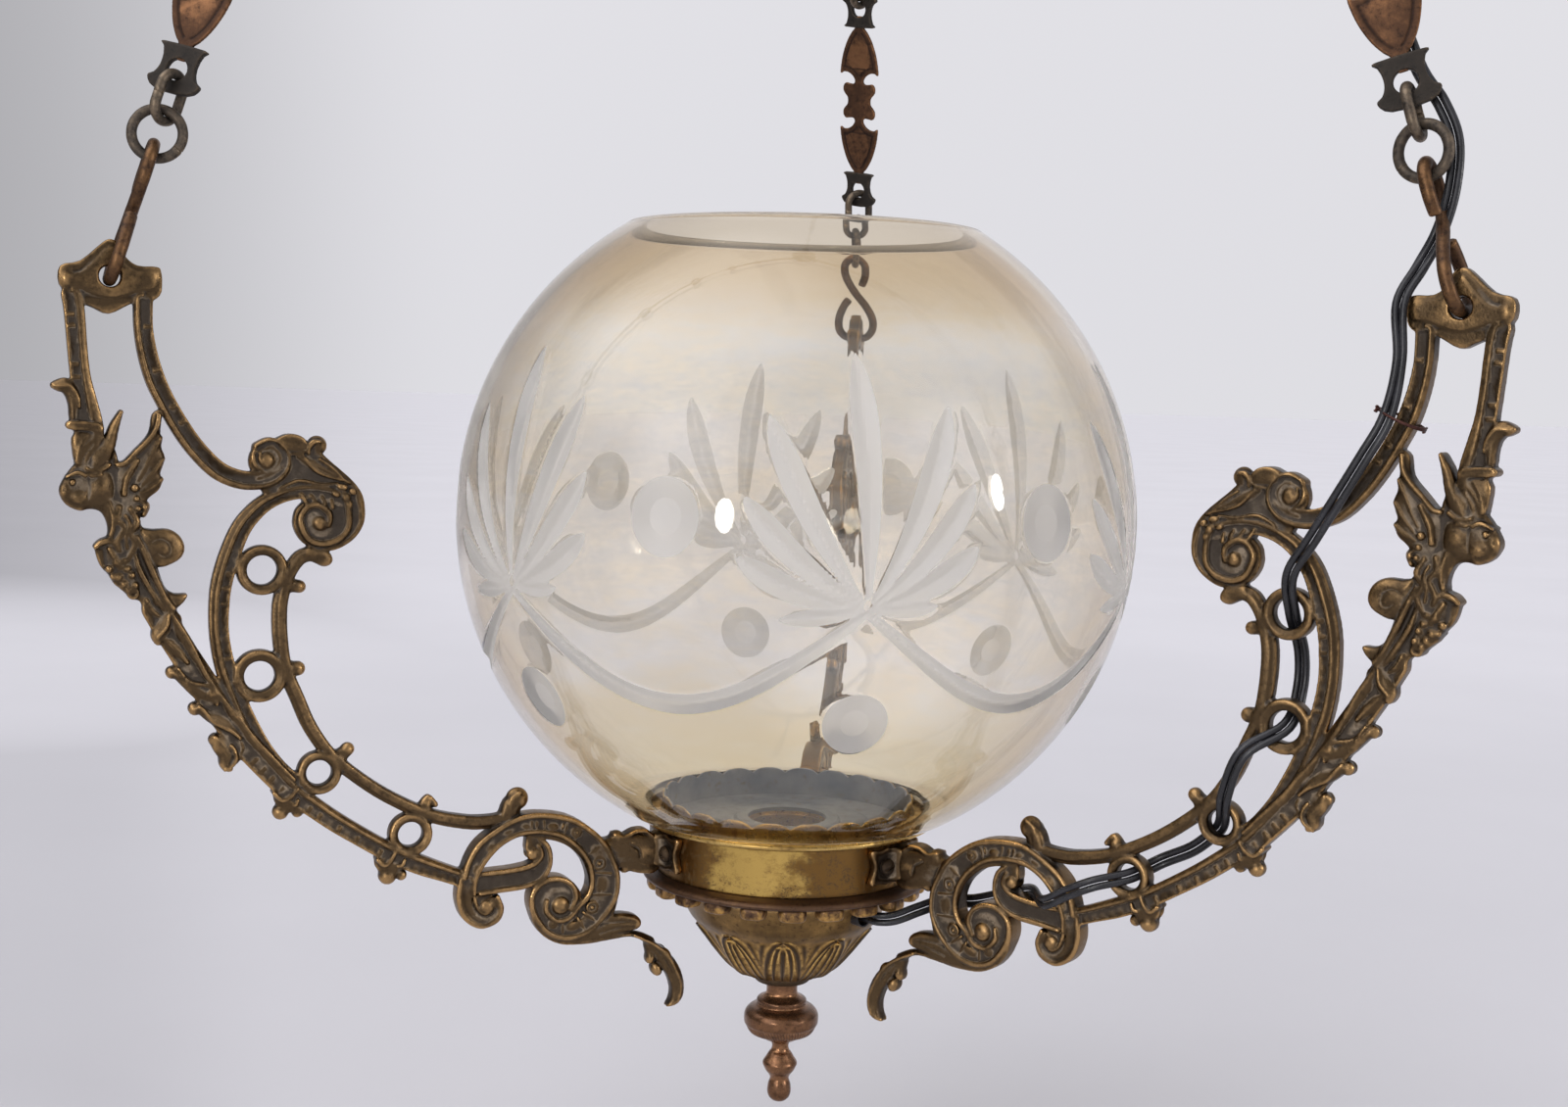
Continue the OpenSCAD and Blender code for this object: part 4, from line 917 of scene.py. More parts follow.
    # ---- leaf-work down the rail: knot, strand and the leaves behind the berries
    S.bead(withr([(216.3, 83.6), (214.0, 78.8), (209.0, 70.6), (205.3, 62.9), (202.6, 57.5), (199.0, 52), (193.3, 44.6), (188.1, 37.5), (181.0, 29.4), (175.7, 23.7)], 0.95), 2.75, k=0.5)
    S.lobe([(221.2, 83.2, 1.0), (219.8, 80.3, 1.7), (217.6, 77.9, 1.1)], 3.3, 1.8, power=1.2)
    S.dome([(219.9, 72.8), (219.4, 69.9), (217.6, 68.4), (215.8, 70.3), (213.6, 73.6), (213.6, 77.9), (215.4, 80.3), (217.6, 77.6)], 3.9, 1.9, 3.0, k=0.4)
    S.bead(withr([(218.1, 71.3), (215.4, 74.6), (214.7, 78.4)], 0.6), 3.9, k=0.35)
    S.bead(withr([(219.6, 73.4), (217.4, 76.0), (216.2, 79.6)], 0.5), 3.7, k=0.3, cut=True)
    S.lobe([(216.4, 71.2, 1.0), (214.9, 69.8, 1.9), (211.7, 66.4, 2.1), (209.0, 63, 1.1)], 3.3, 1.9, power=1.3, k=0.4)
    S.lobe([(213, 59.8, 1.2), (209.2, 56.6, 1.9), (205.6, 54.0, 2.7), (202.4, 52.0, 2.6), (200.0, 49.6, 1.0)], 3.5, 2.0, power=1.3, k=0.4)
    S.bead(withr([(211.7, 61.1), (209.0, 57.2), (206.2, 56.1), (203.5, 55.6), (201.6, 54.5), (199.9, 52.1), (199.9, 49.2)], 0.7, 0.7), 3.1, k=0.35)
    S.bead(withr([(209.6, 58.2), (206, 53.8), (202.4, 51.4)], 0.4), 3.6, k=0.3, cut=True)
    S.egg(201.4, 52.9, 1.8, 1.5, 30, 3.1, 1.0, k=0.35)
    S.lobe([(206, 48.2, 1.0), (202.2, 45.8, 2.0), (198.4, 43.4, 2.3), (195, 40.8, 1.8), (192.5, 38.2, 0.8)], 3.4, 2.0, power=1.3, k=0.4)
    S.bead(withr([(205.4, 49), (203.9, 47.4), (201.1, 43.9), (197.9, 41.9), (195.1, 40.3), (192.8, 38)], 0.7, 0.7), 3.1, k=0.35)
    S.bead(withr([(203, 47.4), (199.4, 45.2), (195.6, 42.6), (193, 39.8)], 0.4), 3.5, k=0.3, cut=True)
    S.lobe([(200.4, 38.6, 1.0), (199.2, 36, 2.3), (197.0, 32.8, 2.5), (197.2, 29.6, 1.8), (195.9, 28.2, 1.2)], 3.3, 1.8, k=0.4)
    S.bead(withr([(195.6, 35.9), (194.4, 33.9), (194, 31.4), (195.1, 29.5), (197.4, 27.9)], 0.75), 2.9, k=0.35)
    S.poly([(200, 38), (195, 39), (191.6, 34.5), (193.4, 29.6), (197.4, 31)], 2.2, 0.9)
    S.bead(withr([(193.2, 31.8), (191.8, 34.8), (193, 38)], 0.45), 2.3, k=0.3)
    # ---- berries on the outer side, each in front of a small cap
    for x, z, r in ((213.5, 59.7, 2.0), (206.5, 47.9, 2.15), (200.5, 37.5, 1.9)):
        S.ball(x, z, r, 0.9, k=0.45)
        S.rod([(x - 0.8, z + 0.4, 1.5), (x - 4.2, z + 1.6, 2.2)], 2.3)
    # ---- leaf collars with balls under the low rail
    for U, V2, balls in (([(182.0, 19.5), (179.4, 17.2), (176.8, 18.2), (174.6, 20.6)], [(176.9, 16.2), (175.3, 15.4), (174.5, 16.8)], ((179.7, 12.9, 2.6), (174.3, 12.6, 1.9))),
                         ([(148.3, -4.8), (146.1, -6.6), (144.2, -5.3), (142.6, -2.6)], [(141.7, -7.3), (140.2, -7.0), (139.4, -5.4)], ((144.7, -10.8, 3.0), (140.1, -10.9, 1.9)))):
        c = np.mean(U, axis=0)
        S.egg(c[0] - 0.6, c[1] - 2.4, 4.6, 3.4, 38, 1.4, 1.7, k=0.7)
        S.bead(withr(U, 0.85, 0.8), 2.9, k=0.35)
        S.bead(withr(V2, 0.65, 0.8), 2.9, k=0.3)
        for x, z, r in balls:
            S.ball(x, z, r, 0.4, k=0.5)
    # ---- berries on the thin rail
    for x, z, r, dx, dz in ((174.2, 86.5, 2.1, 3.6, 0.6), (174.5, 59.8, 2.4, 3.2, 0.3), (158.2, 32.6, 2.2, 2.8, -2.6), (132, 12.8, 2.1, 0.6, -3.2)):
        S.ball(x, z, r, 0.3, k=0.6)
        S.rod([(x + dx, z + dz, 2.6), (x + 0.35 * dx, z + 0.35 * dz, 2.1)], 2.4, power=2.6)
    S.bead([(133.8, 12.2, 1.0), (131.4, 15.0, 0.9), (129.0, 12.4, 1.0)], 0.8)
    S.ball(100.7, 12.7, 3.9, k=0.7, sy=0.8)
    S.lobe([(104.8, 7.2, 2.4), (103.6, 11, 2.2), (101, 14.4, 1.4)], 3.2, 1.6)
    S.bead([(103.6, 9.2, 0.5), (103.2, 13.2, 0.6), (100.2, 15.2, 0.5)], 2.8, k=0.3)
    S.lobe([(171, 97.3, 2.2), (167.4, 96.2, 2.7), (165.6, 95.2, 1.8)], 3.0, 1.8)
    S.ball(166.4, 95.4, 2.5, 0.4, k=0.6)
    # ---- crest and volute: one plate, ridges on it
    S.poly(CREST, 2.2, 0.9)
    S.dome([(181.9, 134.0), (179.4, 135.2), (176.8, 135.5), (174.1, 134.8), (172.4, 133.0), (172.6, 130.0), (177.8, 129.6), (180.6, 131.2)], 3.3, 2.2, 2.0, k=0.35)
    S.bead(withr([(181.2, 133.9), (179.0, 134.8), (176.6, 135.0), (174.2, 134.2), (172.6, 132.6)], 0.7), 2.7, k=0.4)
    S.bead(withr([(178.2, 129.2), (174.6, 129.4), (172.2, 130.8)], 0.5), 2.8, k=0.3)
    S.ball(169.0, 132.1, 3.2, 0, k=0.5, sy=0.86)
    S.bead(withr([(171.9, 129.6), (171.9, 131.4), (170.4, 133.2), (168.4, 133.4)], 0.9, 0.7), 2.6, k=0.3)
    S.bead(withr([(169.6, 129.6), (168.4, 131.4), (166.6, 131.8)], 0.5), 2.9, k=0.3, cut=True)
    S.lobe([(175.4, 128.6, 1.0), (171.9, 126.9, 2.2), (167.8, 124.7, 2.1), (163.4, 122.6, 1.5), (158.8, 120.2, 0.8)], 3.3, 2.0, k=0.35, power=1.2)
    S.bead(withr([(173.8, 129.0), (171.2, 125.6), (167.7, 123.1), (160.9, 121.0)], 0.6, 0.6), 2.9, k=0.3)
    S.bead(withr([(168.4, 127.8), (164.3, 124.8), (159.7, 120.4)], 0.6, 0.8), 2.7, k=0.3)
    S.bead(withr([(181, 117.6), (179.6, 118.8), (175.6, 120.6), (172.6, 120.6), (167.6, 119.6), (162.6, 120)], 0.55, 0.8), 2.6, k=0.3)
    S.bead(withr([(187.5, 121.4), (184.2, 122.6), (180.6, 124.4), (178.2, 127.6)], 0.5, 0.6), 2.0, k=0.6)
    S.poly([(184 + 6.4 * math.cos(q), 126.8 + 6.2 * math.sin(q)) for q in np.linspace(0, 2 * math.pi, 20)[:-1]], 2.0, 0.8)
    S.bead(withr([(188.6, 130.6), (189.1, 128), (188.2, 125.4), (186.2, 124.0)], 0.8, 0.6), 2.1, k=0.5)
    S.egg(184.9, 127.1, 2.5, 2.6, 0, 2.0, 1.5, k=0.4)
    S.bead(withr([(186.9, 129.6), (187.2, 127.6), (186.2, 125.6)], 0.45, 0.7), 2.7, k=0.3)
    # volute
    S.bead(withr([(160.6, 116.8), (159.2, 112), (159.2, 105.8), (162.2, 102), (167.3, 100.6), (171.5, 102), (173.8, 105.8), (174.2, 109.2), (172, 112.3), (168.9, 113), (165.8, 111), (165.1, 108.6), (165.6, 106.6)], 1.1, 0.8), 2.5, k=0.5)
    S.bead(withr([(156.4, 116.4), (155.0, 112.4), (154.9, 107.6), (157.0, 103.4), (160.6, 100.6)], 0.6), 2.1, k=0.5)
    S.poly([(168.2 + 4.0 * math.cos(q), 107 + 4.0 * math.sin(q)) for q in np.linspace(0, 2 * math.pi, 16)[:-1]], 2.2, 0.6)
    S.egg(168.0, 107.1, 2.3, 2.3, 0, 2.2, 1.45, k=0.3)
    for p in ([(174.2, 116.6), (172.4, 113.6)], [(171.0, 116.0), (169.6, 113.9)], [(167.6, 115.7), (166.6, 113.4)], [(164.4, 114.8), (164.2, 112.2)]):
        S.bead([(*p[0], 0.45), (*p[1], 0.75)], 2.4, k=0.3, sub=1)
    for x, z, a, b, ang in ((161.2, 118.8, 1.9, 1.2, 10), (159.9, 115.5, 1.8, 1.4, 60), (158.9, 113.3, 1.4, 1.1, 80), (163.2, 116.6, 1.5, 1.0, 20), (157.9, 117.4, 1.3, 1.1, 40)):
        S.egg(x, z, a, b, ang, 2.9, 0.95, k=0.3)
    # ---- foot scroll: a flat band with round ridges laid on it
    S.ribbon(BASE, 2.9, 0.9, 0.8)
    S.poly([(85.7 + 7.4 * math.cos(q), -26 + 7.4 * math.sin(q)) for q in np.linspace(0, 2 * math.pi, 20)[:-1]], 2.6, 0.8)
    S.poly([(89.6, -20.6), (93.2, -23), (93.6, -29), (90, -33), (85, -33), (84, -26)], 2.4, 0.8)
    for q in ((75.6, -25.8), (76.9, -28.4), (78.6, -30.9)):
        S.ball(q[0], q[1], 2.7, -0.6, k=0.9)
    S.poly([(112 + 4.8 * math.cos(q), -23.6 + 4.8 * math.sin(q)) for q in np.linspace(0, 2 * math.pi, 16)[:-1]], 2.1, 0.8)
    sx, sz = 0.95, 0.9
    S.bead(withr(shift([(118.2, -13.8), (116.6, -8.3), (112.7, -2.3), (104.4, 3.3), (97.6, 5.7), (90.7, 5.8), (82.5, 4.2), (75.4, .3), (69.4, -5.3), (65.7, -11.9),
                        (64.1, -17.8), (64.8, -24.7), (68.9, -31.3), (74.7, -36.1), (81.7, -37.5), (88.2, -35.5), (92.9, -29.9), (94.7, -24.6), (93.7, -20.1), (89.7, -17),
                        (84.5, -16.8), (80.3, -19.4), (79.1, -23.6), (80.7, -27.5)], sx, sz), 1.05, 0.9), 3.0, k=0.5)
    S.bead(withr(shift([(114.7, -19.6), (114.5, -15.2), (112.1, -9.7), (107.1, -3.9), (101.5, -.6), (96.3, .5), (90, .1), (83.6, -2), (77.6, -7), (74, -13), (73.3, -19.4),
                        (74.9, -23.9), (77.8, -26.6), (81.4, -30.6), (86, -31.2), (89.4, -27.6), (89.2, -24.2)], sx, sz), 0.95, 0.7), 3.0, k=0.5)
    S.bead(withr(shift([(119.4, -14), (119.8, -16.9), (120.1, -21.5), (118, -27.4), (112.8, -30.9), (107.8, -29.4), (105.7, -25.5), (106.8, -21.4)], 0.7, 0.8), 0.95, 0.9), 2.6, k=0.5)
    S.bead(withr(shift([(115.0, -20), (113.6, -24.8), (110.8, -26.8), (108.6, -24.6)], 0.7, 0.8), 0.7, 0.8), 2.5, k=0.4)
    S.egg(85.2, -25.2, 3.0, 3.0, 0, 2.7, 1.6, k=0.4)
    S.bead(shift([(86.4, -24.2, 0.5), (84.2, -23.4, 0.55), (82.6, -25, 0.5), (83.2, -27.2, 0.5), (85.4, -27.6, 0.4)], 0.8, 0.6), 4.4, k=0.3, cut=True)
    S.egg(111.1, -23.8, 2.6, 2.6, 0, 2.2, 1.5, k=0.4)
    # branch: gutter between two smooth ridges, curling round an eye
    S.ribbon([(114, -15.6, 3.2), (108.5, -15.6, 3.5), (101.5, -15, 3.6), (94.8, -13.4, 3.3), (91.2, -9.8, 2.8), (91.2, -5.8, 2.4), (93.4, -3.2, 2.2)], 2.4, 0.9, 0.7)
    S.bead(withr(shift([(113.6, -13.0), (109.8, -12.7), (101.3, -12.2), (95, -10.9), (91.9, -7.8), (92.8, -4.2)], 0.6, 0.6), 0.95), 2.6, k=0.5)
    S.bead(withr(shift([(113, -19.6), (106.3, -18.8), (98.3, -18.2), (92.6, -16.4), (89.4, -13.1), (88.7, -8.5), (89.9, -4.4), (92.4, -2.2)], 0.6, 0.6), 0.95), 2.6, k=0.5)
    S.ribbon([(95, -4, 3.0), (95.2, 0.6, 2.4)], 2.6, 1.0)
    S.egg(95.1, -6.4, 2.5, 2.5, 0, 1.8, 1.9, k=0.4)
    # panels and rosettes between the ridges
    for x, z, a, b, ang, e in ((98.0, 3.2, 1.4, 0.9, 10, 0.5), (94.4, 3.6, 0.5, 1.4, 0, 0.5), (88.7, 2.4, 1.9, 1.2, 10, 0.7), (85.2, 2.6, 0.5, 1.3, 15, 0.8), (104.2, 1.6, 1.8, 0.9, -22, 0.45),
                               (110.2, -3.2, 1.8, 0.9, -48, 0.45), (115.4, -10.4, 1.9, 0.9, -72, 0.45), (70.7, -19.2, 1.7, 3.2, 3, 0.35), (80.6, -32.4, 2.6, 1.4, -16, 0.35)):
        S.egg(x, z, a, b, ang, 2.9, e, k=0.3)
    for x, z, r in ((80.1, 0.2, 1.5), (71.8, -11.3, 2.0), (74.0, -26.7, 1.8), (88.0, -31.2, 1.4)):
        S.bead([(x + r * math.cos(q), z + r * math.sin(q), 0.42) for q in t], 3.0, k=0.25, sub=1)
        S.ball(x, z, 0.85, 2.9, k=0.25)
    for p in ([(96.2, 4.8), (96.0, 2.0)], [(91.8, 4.8), (91.6, 1.4)], [(83.2, 4.6), (84.4, 0.6)], [(77.6, 2.2), (80.6, -2.2)], [(70.6, -4.4), (75.4, -7.6)], [(67.6, -15.2), (73.4, -14.6)],
              [(67.4, -22.6), (74.2, -22.0)], [(72.2, -32.0), (77.2, -28.2)], [(76.6, -34.4), (79.2, -30.0)], [(84.4, -34.6), (84.6, -31.4)]):
        S.bead([(*p[0], 0.38), (*p[1], 0.38)], 3.0, k=0.35, sub=1)
    # ---- bud leaf on the scroll
    S.dome([(70, -30.6), (65.9, -29.9), (61.7, -30.0), (57.2, -31.3), (55.4, -33.9), (57.0, -36.1), (62.8, -37.0), (71.6, -39.0), (78, -39.2), (78, -34)], 3.5, 2.0, 3.2, k=0.6)
    for p in ([(58.4, -33.2), (64, -32.6), (70.6, -33.0)], [(58.6, -34.8), (64, -35.0), (71, -36.4)]):
        S.bead(withr(p, 0.5), 3.5, k=0.5, cut=True)
    S.bead(withr([(57, -32.8), (62, -31.2), (67, -31.0)], 0.5), 2.7, k=0.4)
    # ---- stem, hanging leaf with a keel, small double bud
    S.dome([(87, -36.4), (86.3, -38.4), (77.5, -40.1), (68.7, -39.5), (59.7, -38.5), (55.5, -39.2), (50.8, -41.4), (45.4, -44.9), (41.0, -50.6), (38.8, -56.9), (39.1, -62.1), (41.6, -65.0),
            (44.8, -65.5), (45.0, -64.8), (43.9, -62.6), (43.6, -58.9), (45.2, -54.2), (47.5, -51.0), (52.2, -44.2), (53.9, -41.4), (60, -37), (70, -36.6), (80, -36)], 3.2, 1.5, 2.6, k=0.5)
    S.bead(withr([(58, -38.2), (51.4, -41.6), (46.0, -46.2), (42.6, -52), (40.6, -58), (41.4, -63.4)], 0.75, 0.6), 3.0, k=0.4)
    S.bead(withr([(50.4, -43.6), (46.2, -48.6), (43.6, -54.4), (42.4, -60.2)], 0.45), 3.3, k=0.35, cut=True)
    S.egg(46.4, -45.6, 2.6, 1.6, 48, 2.4, 1.3, k=0.5)
    S.egg(51.6, -47.0, 1.7, 2.4, 10, 0.6, 2.3, k=0.4)
    S.egg(49.2, -51.4, 2.0, 2.8, -25, 0.6, 2.5, k=0.4)
    S.rod([(52.6, -42.6, 1.3), (51.8, -45.4, 1.4)], 2.3)
    S.rod([(66, -38.0, 1.2), (60, -37.8, 1.15), (55.4, -38.9, 1.2), (51.4, -41.2, 1.5)], 2.4)
    # ---- lug towards the gallery (the plate on the band is a second mesh)
    S.lobe([(72, -7, 3.2), (64, -6.8, 4.6), (57, -7.4, 5.2), (51.5, -8, 5.4), (49.2, -8, 5.4)], 3.3, 2.2, k=0.9)
    S.lobe([(65.5, -9.6, 2.8), (61.0, -11.2, 3.4), (56.5, -12.2, 3.9), (52.6, -12.8, 3.9)], 2.7, 2.0, k=0.9)
    S.ball(64.9, -3.4, 2.8, 0.3, k=0.7)
    S.ball(61.7, -13.9, 2.1, 0.3, k=0.7)
    S.bead(withr([(66, -1.8), (62.4, -2.8), (58.6, -1.2), (54.8, -1.2), (52, -3.2)], 0.8, 0.8), 2.4, k=0.5)
    S.bead(withr([(66, -9.8), (60.6, -9.4), (56.6, -12.2), (52.6, -13.0)], 0.7, 0.8), 2.4, k=0.5)
    S.bead(withr([(60.6, -5.2), (57.2, -7.6), (56.4, -10.6)], 0.5), 3.2, k=0.4, cut=True)
    return S.mesh()


def foot_mesh():
    """The foot plate on the band and the flare of the lug towards it."""
    S = Relief(36, 60, -19, 3, 17, 0.4)
    X, Y, Z = np.meshgrid(S.x, S.y, S.z, indexing="ij")
    R = np.hypot(X, Y)
    PH = np.degrees(np.arctan2(Y, X))
    # plate on the band: waisted outline, raised rim
    half = 16.3 - 2.2 * np.cos((Z + 8.3) / 6.6 * math.pi) * 0.5
    e = (PH - half) * 0.82
    dz = np.abs(Z + 8.2) - 6.6 + 0.35 * np.abs(np.sin(PH * 0.38)) * 2
    d2 = smax(e, dz, 2.2)
    rim = sstep(-3.2, -1.2, d2)
    G = smax(smax(d2, R - (48.75 + rim * 0.95), 0.8), 47.1 - R, 0.4)
    # hollow for the screw head
    sy = PH - 8.5
    hole = np.hypot(sy * 0.86, Z + 8.5)
    G = smax(G, -(smax(hole - 3.9, 48.6 - R, 0.5)), 0.6)
    S.F[:] = np.minimum(S.F, G.astype(np.float32))
    # flare of the lug
    wd = 2.9 + 2.6 * sstep(53.0, 48.3, X) ** 1.5
    lug = smax(smax(Y - wd, np.abs(Z + 8.0) - (5.6 + 0.4 * sstep(53, 49, X)), 1.8), X - 57.5, 2.0)
    lug = smax(lug, 48.2 - X, 0.5)
    S.F[:] = smin(S.F, lug.astype(np.float32), 1.2)
    return S.mesh()


def arm_objects():
    V, F = arm_mesh()
    V2, F2 = foot_mesh()
    VV = np.concatenate([V, V2])
    FF = np.concatenate([F, F2 + len(V)])
    ob = make("arm_shape", VV, FF, MATS["cast"], cavity=None)
    print("arm quads", len(FF))
    decimate(ob, 190000)
    me = ob.data
    if not me.materials:
        me.materials.append(MATS["cast"])
    V, N, c = mark_cavity(me, 8, 0.14)
    put_attr(me, "cav", c)
    put_attr(me, "face", np.clip(np.abs(N[:, 1]) * 1.15, 0, 1))
    E = np.zeros(len(me.edges) * 2, np.int64)
    me.edges.foreach_get("vertices", E)
    W = smoothed(V, E.reshape(-1, 2), 70, 0.5)
    put_attr(me, "dip", np.clip(((V - W) * N).sum(1) / 0.75, -1, 1))
    obs = []
    for s in ("left", "right", "rear"):
        m2 = me.copy()
        P = rot_z(V, AZ[s])
        P[:, 2] += BZ
        m2.vertices.foreach_set("co", (P * MM).ravel())
        m2.update()
        o = bpy.data.objects.new("cast_arm_" + s, m2)
        bpy.context.scene.collection.objects.link(o)
        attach(o, "lantern")
        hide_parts("arm_" + s)
        obs.append(o)
    bpy.data.objects.remove(ob)
    return obs


# ============================================================ chains
LEAN = 17.1
TWIST = {"left": (-15, 45, -35), "right": (-8, 95, 16), "rear": (10, 115, 60)}


def on_chain(P, s):
    P = rot_y(P, -LEAN)
    P = P + np.array([232.0, 0, 182.0 + BZ])
    return rot_z(P, AZ[s])


def turned(P, s, a):
    P = rot_z(P, a)
    P[:, 2] += s
    return P


HOOK = [(-3.2, 28.5), (-5, 34), (-4.6, 40.3), (0, 44), (4.6, 40.3), (4.9, 34.5), (2.8, 29), (-0.5, 23.5), (-5, 17.5), (-8.2, 11),
        (-8.2, 5.5), (-5.6, 1.4), (-2, 0.1), (2, 0.1), (5.6, 1.4), (8.2, 5.5), (8, 11.5), (5.6, 17.5), (3.4, 20.5)]
SHIELD = [(2.4, 10.6), (2.4, 15), (4.2, 17.2), (6.6, 21), (8.6, 26), (9.8, 31), (10.2, 35.6), (8.4, 34.8), (6, 35), (4, 36),
          (2.7, 37.4), (2.2, 38.8), (3.2, 39.9), (5.2, 39.8), (7.2, 39.6), (8.5, 41), (8.6, 43), (7.6, 44.6), (6.4, 45.8), (6, 47.5)]
CONN = [(5.6, 0), (9.1, 3.2), (7.3, 4.8), (6.3, 6.6), (5.9, 8.7), (6.1, 11.2), (6.8, 13.4), (7.3, 15)]


def wobble(P, amp, seed):
    rs = np.random.RandomState(seed)
    ph = rs.rand(6) * 6.28
    s = np.arange(len(P))
    w = sum(np.sin(s * f + ph[i]) for i, f in enumerate((0.11, 0.23, 0.41, 0.67, 0.97, 1.7))) / 6
    return w * amp


def link_mesh():
    """One stamped link with its engraved line, upright: x across, z along."""
    half = SHIELD + [(x, 95 - z) for x, z in SHIELD[-2::-1]]
    out = [(x, z) for x, z in half] + [(-x, z) for x, z in half[::-1]]
    S = Relief(-11.5, 11.5, 9.5, 85.5, 1.6, 0.35)

    def h(d2, X, Z):
        H = np.full(X.shape, 0.64)
        keep = (np.abs(X) < 9) & (((Z > 17.5) & (Z < 36.2)) | ((Z > 58.8) & (Z < 77.5)))
        line = sstep(0.42, 0.12, np.abs(d2 + 2.3)) * np.where(keep, 1, 0)
        # the line closes across the top of the shield
        bar = sstep(0.42, 0.12, np.abs(np.abs(Z - 47.5) - 14.2)) * (np.abs(X) < 7.4) * (d2 < -1.8)
        return H - 0.26 * np.maximum(line, bar)
    S.poly(out, h, 0.35, 0.2)
    return S.mesh()


def connector_mesh():
    S = Relief(-11, 11, -1.5, 17, 2.0, 0.3)
    rs = np.random.RandomState(5)
    out = list(CONN) + [(-x, z) for x, z in CONN[::-1]]
    S.poly(out, 1.1, 0.45, 0.2)
    S.drill(0, 7.2, 3.5, 0.4)
    return S.mesh()


def torus_path(R, gap=0.0, n=56, a0=200):
    t = np.radians(np.linspace(a0 + gap, a0 + 360 - gap, n, endpoint=gap > 0))
    return np.stack([R * np.cos(t), 0 * t, R * np.sin(t)], 1)


def oval_path(R, L, gap=0.0):
    """Oval in XZ, straight half length L, cut seam on one straight leg."""
    up = np.radians(np.linspace(0, 180, 19))
    top = np.stack([R * np.cos(up), 0 * up, L + R * np.sin(up)], 1)
    bot = np.stack([R * np.cos(up + math.pi), 0 * up, -L + R * np.sin(up + math.pi)], 1)
    P = np.concatenate([[[R, 0, gap]], top, [[-R, 0, 0]], bot, [[R, 0, -gap]]])
    out = []
    for i in range(len(P) - 1):
        k = max(1, int(np.linalg.norm(P[i + 1] - P[i]) / 0.9))
        for j in range(k):
            out.append(P[i] + (P[i + 1] - P[i]) * j / k)
    out.append(P[-1])
    return np.array(out)


def chain_objects():
    LV, LF = link_mesh()
    CV, CF = connector_mesh()
    LF, CF = [tuple(f) for f in LF], [tuple(f) for f in CF]
    ring = torus_path(7.65, 1.1, 72)
    oval = oval_path(4.95, 2.5, 0.12)
    for q, s in enumerate(("left", "right", "rear")):
        tw = TWIST[s]
        # hook
        P = catmull([(0, y, z) for y, z in HOOK], 6)
        r = 1.96 + wobble(P, 0.07, 11 + q)
        r[:3] *= (0.93, 0.97, 0.99)
        V, F = sweep(P, r, 18, up=(1, 0, 0))
        o = make("hook_wire_" + s, on_chain(V, s), F, MATS["hook"], cavity=(6, 0.25))
        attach(o, "lantern"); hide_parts("hook_" + s)
        # rings
        parts = []
        for (d, a, flip) in ((47.4, tw[0], 1), (650.9, 90, 1)):
            V, F = sweep(ring, 1.62 + wobble(ring, 0.06, 21 + q), 16, up=(0, 1, 0))
            parts.append((on_chain(turned(V, d, a), s), F))
        V, F = join_data(parts)
        o = make("round_rings_" + s, V, F, MATS["chain"], cavity=(6, 0.25))
        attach(o, "lantern"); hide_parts("rings_" + s)
        # oval links
        parts = []
        places = [(59.15, tw[1])] + [(157.7 + 98.6 * u, 90 + (tw[2] * (1 - u / 5) + tw[2] * (1 - (u + 1) / 5)) / 2) for u in range(5)]
        for k, (d, a) in enumerate(places):
            V, F = sweep(oval, 1.62 + wobble(oval, 0.06, 31 + q * 7 + k), 16, up=(0, 1, 0))
            parts.append((on_chain(turned(V, d, a), s), F))
        V, F = join_data(parts)
        o = make("oval_links_" + s, V, F, MATS["chain"], cavity=(6, 0.25))
        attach(o, "lantern"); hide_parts("ovals_" + s)
        # stamped links and connector plates
        lp, cp = [], []
        for u in range(6):
            a = tw[2] * (1 - u / 5)
            lp.append((on_chain(turned(LV.copy(), 60.9 + 98.6 * u, a), s), LF))
            cp.append((on_chain(turned(CV.copy(), 60.9 + 98.6 * u, a), s), CF))
            M = CV.copy()
            M[:, 2] *= -1
            cp.append((on_chain(turned(M, 60.9 + 95 + 98.6 * u, a), s), [f[::-1] for f in CF]))
        V, F = join_data(lp)
        o = make("stamped_links_" + s, V, F, MATS["stamped"], cavity=None)
        decimate(o, 90000)
        mark_cavity(o.data, 5, 0.10)
        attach(o, "lantern"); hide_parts("plates_" + s)
        V, F = join_data(cp)
        o = make("connector_plates_" + s, V, F, MATS["iron"], cavity=None)
        decimate(o, 90000)
        mark_cavity(o.data, 5, 0.12)
        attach(o, "lantern"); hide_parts("connectors_" + s)


